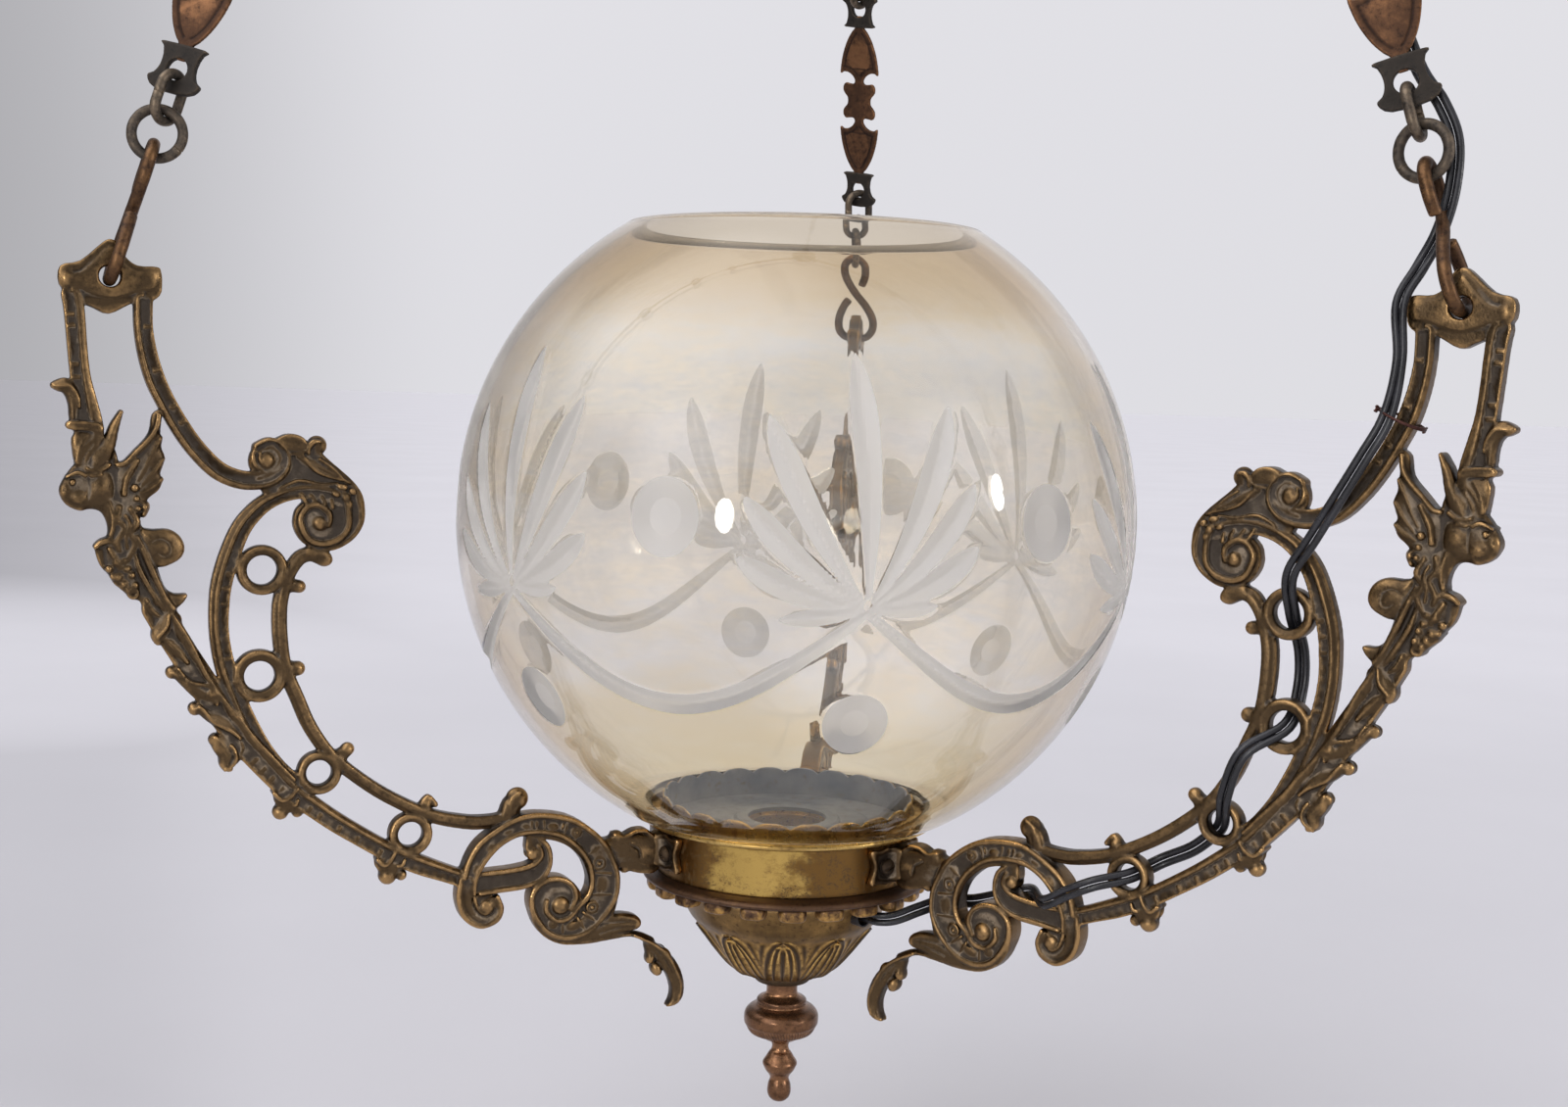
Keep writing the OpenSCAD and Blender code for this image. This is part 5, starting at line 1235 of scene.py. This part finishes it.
# ============================================================ globe
def globe_object():
    R, ZC = 120.0, 108.5
    n = 624
    lat_top = math.degrees(math.asin((211.24 - ZC) / R))
    lat_bot = -math.degrees(math.acos(61.0 / R)) + 0.2
    lats = np.concatenate([np.linspace(lat_bot, -33.6, 22, endpoint=False), np.linspace(-33.6, 30.6, 112, endpoint=False), np.linspace(30.6, lat_top, 24)])
    az = np.arange(n) * 360.0 / n
    A, L = np.meshgrid(az, lats)
    # signed distance to the cut ornament, in mm on the surface, repeated six times
    a = (A + 72.6 + 30) % 60 - 30                # degrees from the palmette's base
    lat0 = -9.0
    cut = np.full(A.shape, -9.0)
    depth = np.zeros(A.shape)
    k = math.pi / 180 * R

    def pt(da, la):
        return da * k * math.cos(math.radians(la)), la * k

    x = a * k * np.cos(np.radians(L))
    y = L * k

    def leaf(tip, w, bend, root=1.6, fat=0.70, dep=1.1):
        nonlocal cut, depth
        bx, by = pt(0, lat0)
        tx, ty = pt(*tip)
        mx, my = (bx + tx) / 2 - (ty - by) * bend, (by + ty) / 2 + (tx - bx) * bend
        T = np.linspace(0, 1, 22)
        P = np.stack([(1 - T) ** 2 * bx + 2 * T * (1 - T) * mx + T * T * tx, (1 - T) ** 2 * by + 2 * T * (1 - T) * my + T * T * ty], 1)
        W = w * np.where(T < fat, 0.16 + 0.84 * np.sin(np.clip(T / fat, 0, 1) * math.pi / 2) ** 1.25, np.clip(1 - ((T - fat) / (1 - fat)) ** 2.2, 0, 1) ** 0.9)
        path = np.stack([P[:, 0], P[:, 1], np.maximum(W, 0.05)], 1)
        d, v, t, ww = along_path(x, y, path[1:])
        q = ww - d
        cut = np.maximum(cut, q)
        g = np.where(q > 0, (1 - (d / np.maximum(ww, 0.3)) ** 1.0) * np.minimum(ww * 0.33, dep), 0)
        depth = np.maximum(depth, g)

    leaf((-2, 29), 4.2, -0.03)
    leaf((-15.3, 19), 4.3, 0.10)
    leaf((-18.5, 7), 4.0, 0.12)
    leaf((-19.3, -1.7), 3.9, 0.14)
    leaf((-13, -10.7), 2.6, 0.05, fat=0.6)
    leaf((13, 21), 4.4, -0.10)
    leaf((16.3, 9.4), 4.0, -0.12)
    leaf((16.8, 0.2), 4.0, -0.14)
    leaf((10.8, -8.4), 2.6, -0.05, fat=0.6)
    # swags from base to base
    s = np.linspace(-30, 0, 20)
    for sg in (-1, 1):
        u = np.linspace(0, 1, 22)
        px = sg * 30 * u
        py = lat0 - 0.6 - 15.6 * np.sin(u * math.pi / 2) ** 1.05
        wx = px * k * np.cos(np.radians(py))
        W = 1.1 + 2.6 * np.sin(u * math.pi / 2) ** 0.8
        d, v, t, ww = along_path(x, y, np.stack([wx, py * k, W], 1))
        q = ww - d
        q = np.where(np.abs(a) > 29.9, q, q)
        cut = np.maximum(cut, q)
        depth = np.maximum(depth, np.where(q > 0, (1 - d / np.maximum(ww, 0.3)) * np.minimum(ww * 0.33, 1.0), 0))
    # thumbprints under the bases, oval dots between the palmettes
    def oval(da, la, hw, hh):
        nonlocal cut, depth
        for off in (-60, 0, 60):
            ex = (a - da - off) / hw
            ey = (L - la) / hh
            r = np.hypot(ex, ey)
            sz = (hw * math.cos(math.radians(la)) + hh) / 2 * k
            q = (1 - r) * sz
            cut = np.maximum(cut, q)
            depth = np.maximum(depth, np.where(q > 0, (1 - r ** 2) * 1.25, 0))
    oval(0, -27.7, 5.5, 5.4)
    oval(30, 3.4, 5.2, 5.8)
    Rr = R - depth
    lipz = sstep(lat_top - 1.4, lat_top - 0.1, L)
    V = np.stack([Rr * np.cos(np.radians(L)) * np.cos(np.radians(A)), Rr * np.cos(np.radians(L)) * np.sin(np.radians(A)), ZC + Rr * np.sin(np.radians(L))], 2)
    rows = [V.reshape(-1, 3)]
    cuts = [cut.ravel()]
    lips = [lipz.ravel()]
    # rim, inner wall (coarser in height, same columns), bottom lip
    Ri = 117.0
    lt = math.degrees(math.asin((211.24 - ZC) / Ri)) - 0.15
    inner = [(R * math.cos(math.radians(lat_top)) - 0.7, 211.75), (R * math.cos(math.radians(lat_top)) - 2.2, 211.95), (Ri * math.cos(math.radians(lt)) + 0.7, 211.75)]
    inner += [(Ri * math.cos(math.radians(q)), ZC + Ri * math.sin(math.radians(q))) for q in np.linspace(lt, -60.4, 40)]
    inner += [(57.0, 6.15), (54.4, 5.85), (50.4, 5.6), (49.85, 5.0), (49.85, 3.4), (50.4, 2.85), (52.8, 2.85), (56.4, 3.25), (59.2, 4.15)]
    inner = np.array(inner)
    inner[:, 1] = np.where(inner[:, 1] > 210, np.minimum(inner[:, 1], 211.2), inner[:, 1])
    m2 = len(inner)
    A2 = np.radians(az)
    V2 = np.stack([inner[:, 0][:, None] * np.cos(A2), inner[:, 0][:, None] * np.sin(A2), np.repeat(inner[:, 1][:, None], n, 1)], 2).reshape(-1, 3)
    V = np.concatenate([rows[0], V2])
    V[:, 2] += BZ
    m = len(lats)
    tot = m + m2
    i, j = np.meshgrid(np.arange(tot), np.arange(n), indexing="ij")
    i2, j2 = (i + 1) % tot, (j + 1) % n
    F = np.stack([i * n + j, i * n + j2, i2 * n + j2, i2 * n + j], -1).reshape(-1, 4)
    ob = make("glass_globe_cut", V, F, MATS["glass"], cavity=None)
    put_attr(ob.data, "cut", np.concatenate([cuts[0], np.full(m2 * n, -9.0)]))
    lz = np.concatenate([lips[0], np.repeat(np.where(inner[:, 1] > 209.5, 1.0, 0.0), n)])
    put_attr(ob.data, "lip", lz)
    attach(ob, "glass_globe"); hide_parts("globe")
    print("globe quads", len(F))
    return ob


# ============================================================ gallery, bowl, finial
def gallery_objects():
    # band
    prof = refine([(45.6, -17.5), (47.0, -17.5), (47.0, -1.35), (47.35, -0.9), (47.35, -0.3), (47.0, 0.0), (45.6, 0.0)], 0.9, 0.28, True)
    V, F = revolve(prof, 220, True)
    o = make("polished_band", V, F, MATS["band"], cavity=(4, 0.1))
    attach(o, "lantern"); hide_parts("gallery_band")
    # ledge: mouldings and 22 worn blocks
    prof = refine([(38.9, -21), (50.2, -21), (51.2, -20.75), (51.75, -20.2), (51.85, -19.6), (51.5, -18.9), (50.6, -18.3), (49.0, -17.9), (47.6, -17.6), (38.9, -17.6)], 0.6, 0.35, True)
    parts = []
    V, F = revolve(prof, 264, True)
    parts.append((V, [tuple(f) for f in F]))
    S = Relief(43.4, 51.2, -26.2, -19.8, 5.6, 0.4)
    X, Y, Z = np.meshgrid(S.x, S.y, S.z, indexing="ij")
    d = smax(smax(np.abs(X - 47.2) - 3.3, Y - 4.75 + 0.9 * sstep(47, 50.8, X), 1.9), np.maximum(-25.5 - Z, Z + 20.4), 2.0)
    S.F[:] = d
    BV, BF = S.mesh()
    BFl = [tuple(f) for f in BF]
    rs = np.random.RandomState(4)
    for k in range(22):
        W = BV.copy()
        W[:, 2] = -20.4 + (W[:, 2] + 20.4) * rs.uniform(0.86, 1.0) + BZ
        W[:, 0] += rs.uniform(-0.25, 0.12)
        W[:, 1] *= rs.uniform(0.90, 1.04)
        parts.append((rot_z(W, -80.1 + k * 360 / 22 + rs.uniform(-0.3, 0.3)), BFl))
    V, F = join_data(parts)
    o = make("ledge_with_blocks", V, F, MATS["ledge"], cavity=None)
    decimate(o, 120000)
    mark_cavity(o.data, 6, 0.18)
    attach(o, "lantern"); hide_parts("gallery_ledge")
    # seat: flange, upstand with scallops
    def scal(A, R, Z):
        t = np.clip((Z - 3.4) / 5.1, 0, 1)
        w = 1 - np.abs(np.sin(A * 11))
        return 0.25 * t * (0.5 - w), -(w ** 1.6) * 2.0 * t ** 1.5
    prof = refine([(45.4, 0.05), (52.6, 0.3), (52.8, 1.2), (52.2, 2.4), (46.6, 2.4), (45.5, 3.2), (45.5, 8.4), (44.4, 8.4), (44.35, -3.1), (42, -3.1), (42, -4.25), (45.35, -4.25)], 0.8, 0.35, True)
    V, F = revolve(prof, 352, True, scal)
    R = np.hypot(V[:, 0], V[:, 1])
    fr = R[F].mean(1)
    fz = V[F][:, :, 2].mean(1) - BZ
    idx = np.where((fr < 45.0) | (fz < 0), 1, 0)
    o = make("scalloped_seat", V, F, [MATS["seat"], MATS["zinc"]], mat_index=idx, cavity=(4, 0.15))
    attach(o, "lantern"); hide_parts("globe_seat")
    # floor of the cup: shallow pressed rings
    prof = refine([(16.05, -3.05), (44.15, -3.05), (44.15, -2.3), (43, -2.0), (38, -2.25), (34, -2.6), (31, -2.55), (29.6, -2.0), (27, -1.9), (20.5, -1.9), (16.05, -1.95)], 0.9, 0.3, True)
    V, F = revolve(prof, 160, True)
    o = make("cup_floor", V, F, MATS["zinc"], cavity=(4, 0.2))
    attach(o, "lantern"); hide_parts("cup_plate")
    # bowl with water leaves
    outer = [(43.5, -21.15), (43.3, -22.6), (40.4, -24.0), (38.9, -26.0), (37.5, -28.6), (36.2, -31.4), (34.8, -34.2), (33.5, -36.0), (32.1, -37.6), (30.9, -39.2),
             (29.5, -41.2), (27.8, -43.6), (26.1, -46), (24.3, -48.4), (22.5, -50.7), (20.8, -52.6), (18.9, -54.3), (16.6, -55.7), (14.0, -56.6), (11, -56.9)]
    outer = catmull(outer, 5)
    inner = refine([(11, -55.6), (13.2, -55.2), (17.6, -53.0), (21.0, -49.6), (24.3, -45.2), (27.5, -40.3), (29.8, -37.0), (32.3, -33.8), (34.2, -29.8), (37.2, -24.2), (38.2, -21.2)], 1.5)
    lower = refine([(11, -56.9), (3.4, -56.9), (3.4, -55.7), (11, -55.6)], 2)
    prof = np.concatenate([outer, lower[1:-1], inner, [[42.5, -21.1]]])
    no = len(outer)

    def leaves(A, R, Z):
        out = np.zeros(A.shape)
        # position down the leaf zone, 0 at the tips and 1 at the foot
        v = np.clip((-37.4 - Z) / 18.3, 0, 1.2)
        zone = (Z < -36.2) & (np.arange(A.shape[0])[:, None] < no)
        u = ((np.degrees(A) + 83.4 + 18) % 36 - 18) / 18
        au = np.abs(u)
        ub = np.clip(v, 0, 1) ** 0.46 * 0.98
        size = 0.55 + 0.45 * sstep(0.95, 0.2, v)
        d1 = (au - ub * 0.97)
        d2 = (au - ub * 0.60 + 0.06)
        rimw = 0.115
        rim = np.exp(-(d1 / rimw) ** 2) * (v > 0.0)
        rim2 = np.exp(-(d2 / 0.075) ** 2) * (v > 0.16)
        rib = np.exp(-(u / 0.11) ** 2) * sstep(0.14, 0.26, v)
        inside = sstep(0.02, -0.05, d1)
        g = 0.72 * rim + 0.42 * rim2 + 0.60 * rib - 0.52 * inside * (1 - np.clip(rim + rim2 + rib, 0, 1))
        # the leaf behind, seen between two tips
        u2 = ((np.degrees(A) + 83.4) % 36 - 18) / 18
        back = np.exp(-((np.abs(u2) - 0.30 * np.clip(1 - v / 0.62, 0, 1)) / 0.10) ** 2) * sstep(0.02, 0.12, v) * (1 - inside) * 0.35
        g = (g + back) * size * sstep(-0.06, 0.02, (-37.1 - Z) / 18.3)
        fade = sstep(-56.8, -55.2, Z) * 0.6 + 0.4
        return np.where(zone, 1.3 * g * fade, 0), np.where(zone, -0.45 * g * fade, 0)
    V, F = revolve(prof, 560, True, leaves)
    o = make("leaf_bowl", V, F, MATS["bowl"], cavity=(7, 0.13))
    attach(o, "lantern"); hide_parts("bowl")
    # neck washer
    V, F = revolve(refine([(3.25, -60), (9.7, -60), (10.2, -59.4), (10.9, -58.2), (10.9, -57.3), (10.4, -57.1), (3.25, -57.1)], 0.6, 0.3, True), 96, True)
    o = make("neck_disc", V, F, MATS["bronze"], cavity=(4, 0.15))
    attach(o, "lantern"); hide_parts("neck_washer")
    # finial
    FIN = [(5.7, -60.3), (5.75, -61.5), (5.6, -63.2), (5.8, -65.0), (6.8, -66.0), (8.5, -66.8), (9.1, -67.6), (9.0, -68.9), (9.5, -69.4), (11.4, -70.1), (12.7, -71.2),
           (13.45, -72.6), (13.6, -74.2), (13.5, -75.8), (13.1, -76.5), (12.6, -77.4), (11.9, -78.7), (11.0, -79.6), (9.2, -80.3), (7.6, -81.0), (5.9, -82.1), (3.9, -82.9), (3.2, -83.9), (3.0, -85.2),
           (3.4, -86.5), (4.2, -87.5), (5.2, -89.2), (6.1, -90.6), (6.3, -91.5), (6.0, -92.4), (5.2, -94.0), (4.1, -95.4), (3.5, -96.6), (3.5, -97.4), (4.05, -99), (4.35, -101.3), (4.2, -102.8), (3.6, -104.2), (2.4, -105.3), (1.0, -105.8), (0.02, -105.88)]
    fp = catmull(FIN, 5)
    fp[:, 0] = np.maximum(fp[:, 0], 0.02)
    nf = len(fp)
    fp = np.concatenate([fp, [[0.02, -105.2], [0.02, -80.6], [3.06, -80.5], [3.06, -60.4], [5.2, -60.28]]])

    def knurl(A, R, Z):
        m = sstep(-76.3, -76.8, Z) * sstep(-80.1, -79.4, Z)
        g = np.abs(np.sin(A * 36 + (Z + 78) * 0.7))
        return m * (0.26 * g - 0.2), 0 * Z
    V, F = revolve(fp, 432, True, knurl)
    o = make("turned_finial", V, F, MATS["finial"], cavity=(8, 0.16))
    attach(o, "bottom_finial"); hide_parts("finial")
    # screw heads: domed, slotted
    S = Relief(-3.6, 3.6, -3.6, 3.6, 4.0, 0.2)
    X, Y, Z = np.meshgrid(S.x, S.y, S.z, indexing="ij")
    d = smax(np.sqrt(X ** 2 + Z ** 2 + (Y + 0.9) ** 2) - 3.4, np.hypot(X, Z) - 3.0, 0.3)
    d = smax(d, -(smax(np.abs(Z) - 0.36, 1.5 - Y, 0.1)), 0.15)
    d = np.where(Y < 0.05, np.maximum(d, 0.05 - Y), d)
    S.F[:] = d
    HV, HF = S.mesh()
    HV, HFl = HV.copy(), [tuple(f) for f in HF]
    parts = []
    shank = sweep(np.array([(42.7, 0, 0), (45, 0, 0), (50.2, 0, 0)], float), 1.5, 20)
    for s in AZ:
        for q, t in ((-8.5, 20), (8.5, -35)):
            c, sn = math.cos(math.radians(t)), math.sin(math.radians(t))
            # head axis y -> local x (outwards)
            W = np.stack([HV[:, 1] + 49.35, HV[:, 0] * c - HV[:, 2] * sn, HV[:, 0] * sn + HV[:, 2] * c], 1)
            W[:, 2] += -8.5 + BZ
            parts.append((rot_z(W, AZ[s] + q), HFl))
            W = shank[0].copy()
            W[:, 2] += -8.5 + BZ
            parts.append((rot_z(W, AZ[s] + q), shank[1]))
    V, F = join_data(parts)
    o = make("slotted_screws", V, F, MATS["bronze"], cavity=None)
    decimate(o, 60000)
    mark_cavity(o.data, 4, 0.10)
    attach(o, "lantern"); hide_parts("arm_screws")


# ============================================================ leads
def along(x, y, s):
    c, n = math.cos(math.radians(LEAN)), math.sin(math.radians(LEAN))
    return (232 + x * c - s * n, y, 182 + x * n + s * c)


ROUTE = [(14.2, -3, -41), (22, -4.2, -38.5), (30, -5.3, -29.0), (35.6, -6.3, -27.2), (41, -7.2, -27.0), (46, -7.8, -27.2), (51.5, -5, -26.4), (57, 1.5, -23.6), (64, 8.5, -20.5),
         (74, 9.4, -19), (84, 9.2, -15.5), (93, 8.8, -12), (102.5, 0, -8.6), (111, -8.2, -9), (119, -8.4, -4.5), (128, -7, 0), (137.3, 0, 3),
         (145, 6.8, 8), (155, 7, 13.5), (162.5, 5.5, 20), (167.5, 0, 25.3), (170.5, -6, 35), (176, -7, 49), (186.6, 0, 57.8), (187.6, 6.4, 68), (187.5, 6.4, 80),
         (186.6, 0, 92), (188, -7, 104), (195, -8, 116), (208, -8, 139), (214.2, -6.5, 152), (215.8, -4.4, 168), (215.4, -4.4, 184)]
ROUTE += [along(*p) for p in ((-9, 1, 16), (-1.6, 1.5, 24), (4.4, 3, 35), (8.0, 4.4, 48), (6.6, 5.2, 60), (2.6, 5, 74), (1, 4.4, 105), (5, 4.6, 150), (5.8, 4.6, 160),
                              (0, 4.6, 205), (5.8, 4.6, 256), (0, 4.6, 304), (5.8, 4.6, 355), (0, 4.6, 402), (5.8, 4.6, 453), (0, 4.6, 500), (5.8, 4.6, 552), (0.5, 5.4, 592))]
ROUTE += [(49.5, 7.4, 768), (42, 6, 778), (33, 1, 784), (24, -6.5, 787), (16.8, -12, 791), (13.4, -13.8, 797), (13, -14, 805)]


def lead_objects():
    P = np.array(ROUTE, float)
    n = len(P)
    T = np.empty_like(P)
    T[1:-1] = P[2:] - P[:-2]
    T[0], T[-1] = P[1] - P[0], P[-1] - P[-2]
    off = np.stack([-T[:, 2], 0 * T[:, 0], T[:, 0]], 1)
    off /= np.linalg.norm(off, axis=1)[:, None]
    spread = np.ones(n)
    spread[-2:] = 3.28
    spread[-3] = 2
    for nm, k in (("lead_a", 1.22), ("lead_b", -1.22)):
        Q = P + k * spread[:, None] * off
        if nm == "lead_a":      # the strands part a little above the tie
            Q[31] += (0.8, -0.4, 0)
        Q = catmull(Q, 7)
        V, F = sweep(Q, 1.15, 14)
        V[:, 2] += BZ
        o = make("black_" + nm, rot_z(V, AZ["right"]), F, MATS["lead"], cavity=None)
        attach(o, "lantern"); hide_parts(nm)
    # tie wire, two turns and twisted ends
    t = np.linspace(0, 2 * math.pi * 2.05, 90)
    X = 7.0 * np.cos(t)
    Y = 7.0 * np.sin(t)
    W = np.stack([X, Y, 0.35 * np.sin(t * 0.5) + t * 0.09 - 0.5], 1)
    parts = [sweep(W, 0.38, 10)]
    for sg in (1, -1):
        s = np.linspace(0, 1, 26)
        E = np.stack([-7.0 - 3.6 * s * 0 + 0.35 * np.cos(s * 16 + sg), -1.0 - 3.4 * s + 0 * s, 0.35 * np.sin(s * 16 + sg) + sg * 1.2 * np.clip(s - 0.6, 0, 1) * 2], 1)
        parts.append(sweep(E, 0.32, 8))
    V, F = join_data(parts)
    V = rot_y(V, 24.5) + np.array([217, -1.6, 151 + BZ])
    o = make("twisted_tie", rot_z(V, AZ["right"]), F, MATS["tie"], cavity=None)
    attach(o, "lantern"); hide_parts("lead_tie")


# ============================================================ carried-over CAD nodes
def dress():
    table = {"suspension_ring": "cast_iron", "hang_link": "cast_iron", "crown_loop": "cad_bronze", "crown_body": "cad_cast", "crown_nut": "cast_iron", "terminal_block": "ceramic",
             "arm_nuts": "steel", "lampholder_flange": "zinc", "lampholder_shell": "lamp", "lamp_screw_shell": "lamp", "lampholder_core": "ceramic", "lamp_contact": "lamp",
             "lampholder_base": "lamp", "tie_rod": "steel", "rod_nut": "steel", "lead_bush": "lead"}
    MATS["cad_cast"] = aged_metal("crown_brass", (0.050, 0.034, 0.019), (0.21, 0.13, 0.052), (0.62, 0.39, 0.13), wear=0.06, cav=False)
    MATS["cad_bronze"] = aged_metal("loop_bronze", (0.03, 0.02, 0.013), (0.11, 0.07, 0.036), (0.36, 0.23, 0.10), cav=False)
    MATS["cast_iron"] = aged_metal("forged_iron", (0.034, 0.029, 0.025), (0.095, 0.078, 0.062), (0.28, 0.22, 0.15), cav=False, metal=(0.6, 0.85), rough=(0.6, 0.42))
    for n, m in table.items():
        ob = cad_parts[n]
        if not ob.material_slots:
            ob.data.materials.append(MATS[m])
        for sl in ob.material_slots:
            sl.material = MATS[m]


# ============================================================ camera, floor, light
def stage():
    A, P, ROLL = math.radians(96.932), math.radians(-4.928), math.radians(1.69)
    f = np.array([math.cos(A) * math.cos(P), math.sin(A) * math.cos(P), math.sin(P)])
    r0 = np.array([math.sin(A), -math.cos(A), 0.0])
    u0 = np.cross(r0, f)
    r = math.cos(ROLL) * r0 + math.sin(ROLL) * u0
    u = math.cos(ROLL) * u0 - math.sin(ROLL) * r0
    from mathutils import Matrix
    M = Matrix(((r[0], u[0], -f[0], 0.0784), (r[1], u[1], -f[1], -0.6774), (r[2], u[2], -f[2], -0.7453), (0, 0, 0, 1)))
    cam = bpy.data.cameras.new("camera")
    cam.lens = 43.85
    cam.sensor_width = 36
    cam.clip_start, cam.clip_end = 0.02, 60
    co = bpy.data.objects.new("camera", cam)
    bpy.context.scene.collection.objects.link(co)
    co.matrix_world = M
    bpy.context.scene.camera = co
    # floor
    n = 24
    t = np.sign(np.linspace(-1, 1, n)) * np.abs(np.linspace(-1, 1, n)) ** 2.6 * 40
    X, Y = np.meshgrid(t, t, indexing="ij")
    V = np.stack([X.ravel() * 1000, Y.ravel() * 1000, np.full(n * n, -1060.0)], 1)
    i, j = np.meshgrid(np.arange(n - 1), np.arange(n - 1), indexing="ij")
    F = np.stack([i * n + j, (i + 1) * n + j, (i + 1) * n + j + 1, i * n + j + 1], -1).reshape(-1, 4)
    m = Mat("floor_painted_shade")
    nz = m.noise(3, 4)
    xx = m.xyz()
    far = m.math("SQRT", m.math("ADD", m.math("MULTIPLY", xx[0], xx[0]), m.math("MULTIPLY", xx[1], xx[1])))
    sx, sy = m.math("ADD", xx[0], -0.078), m.math("ADD", xx[1], 0.677)
    ds = m.math("MAXIMUM", m.math("SQRT", m.math("ADD", m.math("MULTIPLY", sx, sx), m.math("MULTIPLY", sy, sy))), 0.4)
    ax = m.math("DIVIDE", sx, ds)
    # painted shade on the floor: darker to the left of the camera, most of all near it, and brighter with distance from
    # the lantern
    left = m.math("MAXIMUM", m.range(ax, -0.53, -0.27, 0.55, 1.0), m.range(ds, 4.4, 2.1))
    near = m.math("MAXIMUM", m.range(ax, -0.46, -0.36, 0.88, 1.0), m.range(ds, 1.1, 1.8))
    tone = m.math("MULTIPLY", m.math("MULTIPLY", left, near), m.range(far, 0.7, 2.2, 0.660, 0.758))
    tone = m.math("MULTIPLY", tone, m.range(nz, 0.3, 0.7, 0.985, 1.015))
    cc = m.t.nodes.new("ShaderNodeCombineColor")
    for k, q in enumerate((0.995, 0.985, 1.02)):
        m.link(m.math("MULTIPLY", tone, q), cc.inputs[k])
    m.set(color=cc.outputs[0], rough=0.8)
    fl = make("floor", V, F, m.m, cavity=None)
    # light: a pale world, softer and darker in a sector behind the camera, and soft boxes
    w = bpy.data.worlds.new("studio")
    w.use_nodes = True
    bpy.context.scene.world = w
    nt = w.node_tree
    bg = nt.nodes["Background"]
    tc = nt.nodes.new("ShaderNodeTexCoord")
    sp = nt.nodes.new("ShaderNodeSeparateXYZ")
    nt.links.new(tc.outputs["Generated"], sp.inputs[0])

    def rng(src, a, b, c, d):
        r = nt.nodes.new("ShaderNodeMapRange")
        r.interpolation_type = "SMOOTHSTEP"
        nt.links.new(src, r.inputs[0])
        for k, v in zip((1, 2, 3, 4), (a, b, c, d)):
            r.inputs[k].default_value = v
        return r.outputs[0]

    def val(a, b, op):
        r = nt.nodes.new("ShaderNodeMath")
        r.operation = op
        nt.links.new(a, r.inputs[0])
        if isinstance(b, float):
            r.inputs[1].default_value = b
        else:
            nt.links.new(b, r.inputs[1])
        return r.outputs[0]
    # horizon tone, brighter a little higher, a wide soft patch overhead to the left, dimmer low behind the camera
    low = val(rng(sp.outputs[2], -0.02, 0.30, 0.740, 0.768), rng(sp.outputs[2], 0.32, 0.75, 1.0, 0.66), "MULTIPLY")
    low = val(low, val(rng(sp.outputs[1], -0.75, -0.10, 0.24, 1.0), rng(sp.outputs[2], 0.20, 0.5, 0.0, 1.0), "MAXIMUM"), "MULTIPLY")
    low = val(low, val(rng(sp.outputs[0], -0.53, -0.27, 0.56, 1.0), rng(sp.outputs[1], 0.2, 0.0, 0.0, 1.0), "MAXIMUM"), "MULTIPLY")
    # dark sides of the room, out of the picture, edge the glass and the metal
    side = val(rng(sp.outputs[0], -0.82, -0.56, 0.34, 1.0), rng(sp.outputs[0], 0.78, 0.44, 0.45, 1.0), "MULTIPLY")
    low = val(low, val(side, rng(sp.outputs[2], 0.25, 0.55, 0.0, 1.0), "MAXIMUM"), "MULTIPLY")

    def patch(direction, a, b, gain):
        d = nt.nodes.new("ShaderNodeVectorMath")
        d.operation = "DOT_PRODUCT"
        nt.links.new(tc.outputs["Generated"], d.inputs[0])
        d.inputs[1].default_value = direction
        return rng(d.outputs["Value"], a, b, 0.0, gain)
    v = low
    for q in (((-0.45, -0.28, 0.85), 0.72, 0.99, 1.7), ((-0.50, -0.80, 0.30), 0.90, 0.99, 1.8), ((0.86, -0.42, 0.30), 0.90, 0.99, 1.5), ((0.20, -0.96, 0.16), 0.965, 0.995, 0.9)):
        v = val(v, patch(*q), "ADD")
    col = nt.nodes.new("ShaderNodeCombineColor")
    for k, q in enumerate((0.992, 0.985, 1.035)):
        nt.links.new(val(v, q, "MULTIPLY"), col.inputs[k])
    nt.links.new(col.outputs[0], bg.inputs[0])
    bg.inputs[1].default_value = 1.0

    def area(name, loc, at, size, power, col=(1, 1, 1)):
        L = bpy.data.lights.new(name, "AREA")
        L.shape = "ELLIPSE"
        L.size, L.size_y = size
        L.energy = power
        L.color = col
        o = bpy.data.objects.new(name, L)
        bpy.context.scene.collection.objects.link(o)
        o.location = loc
        from mathutils import Vector
        d = Vector(at) - Vector(loc)
        o.rotation_euler = d.to_track_quat("-Z", "Y").to_euler()
        return o
    area("key", (-0.39, -1.45, -0.69), (0, 0, -0.80), (0.15, 0.27), 3.2, (1.0, 0.985, 0.96))
    area("side", (1.53, -0.48, -0.51), (0, 0, -0.80), (0.14, 0.27), 3.0, (1.0, 0.99, 0.975))
    bpy.context.scene.view_settings.view_transform = "Standard"


materials()
stage()
gallery_objects()
globe_object()
arm_objects()
chain_objects()
lead_objects()
dress()
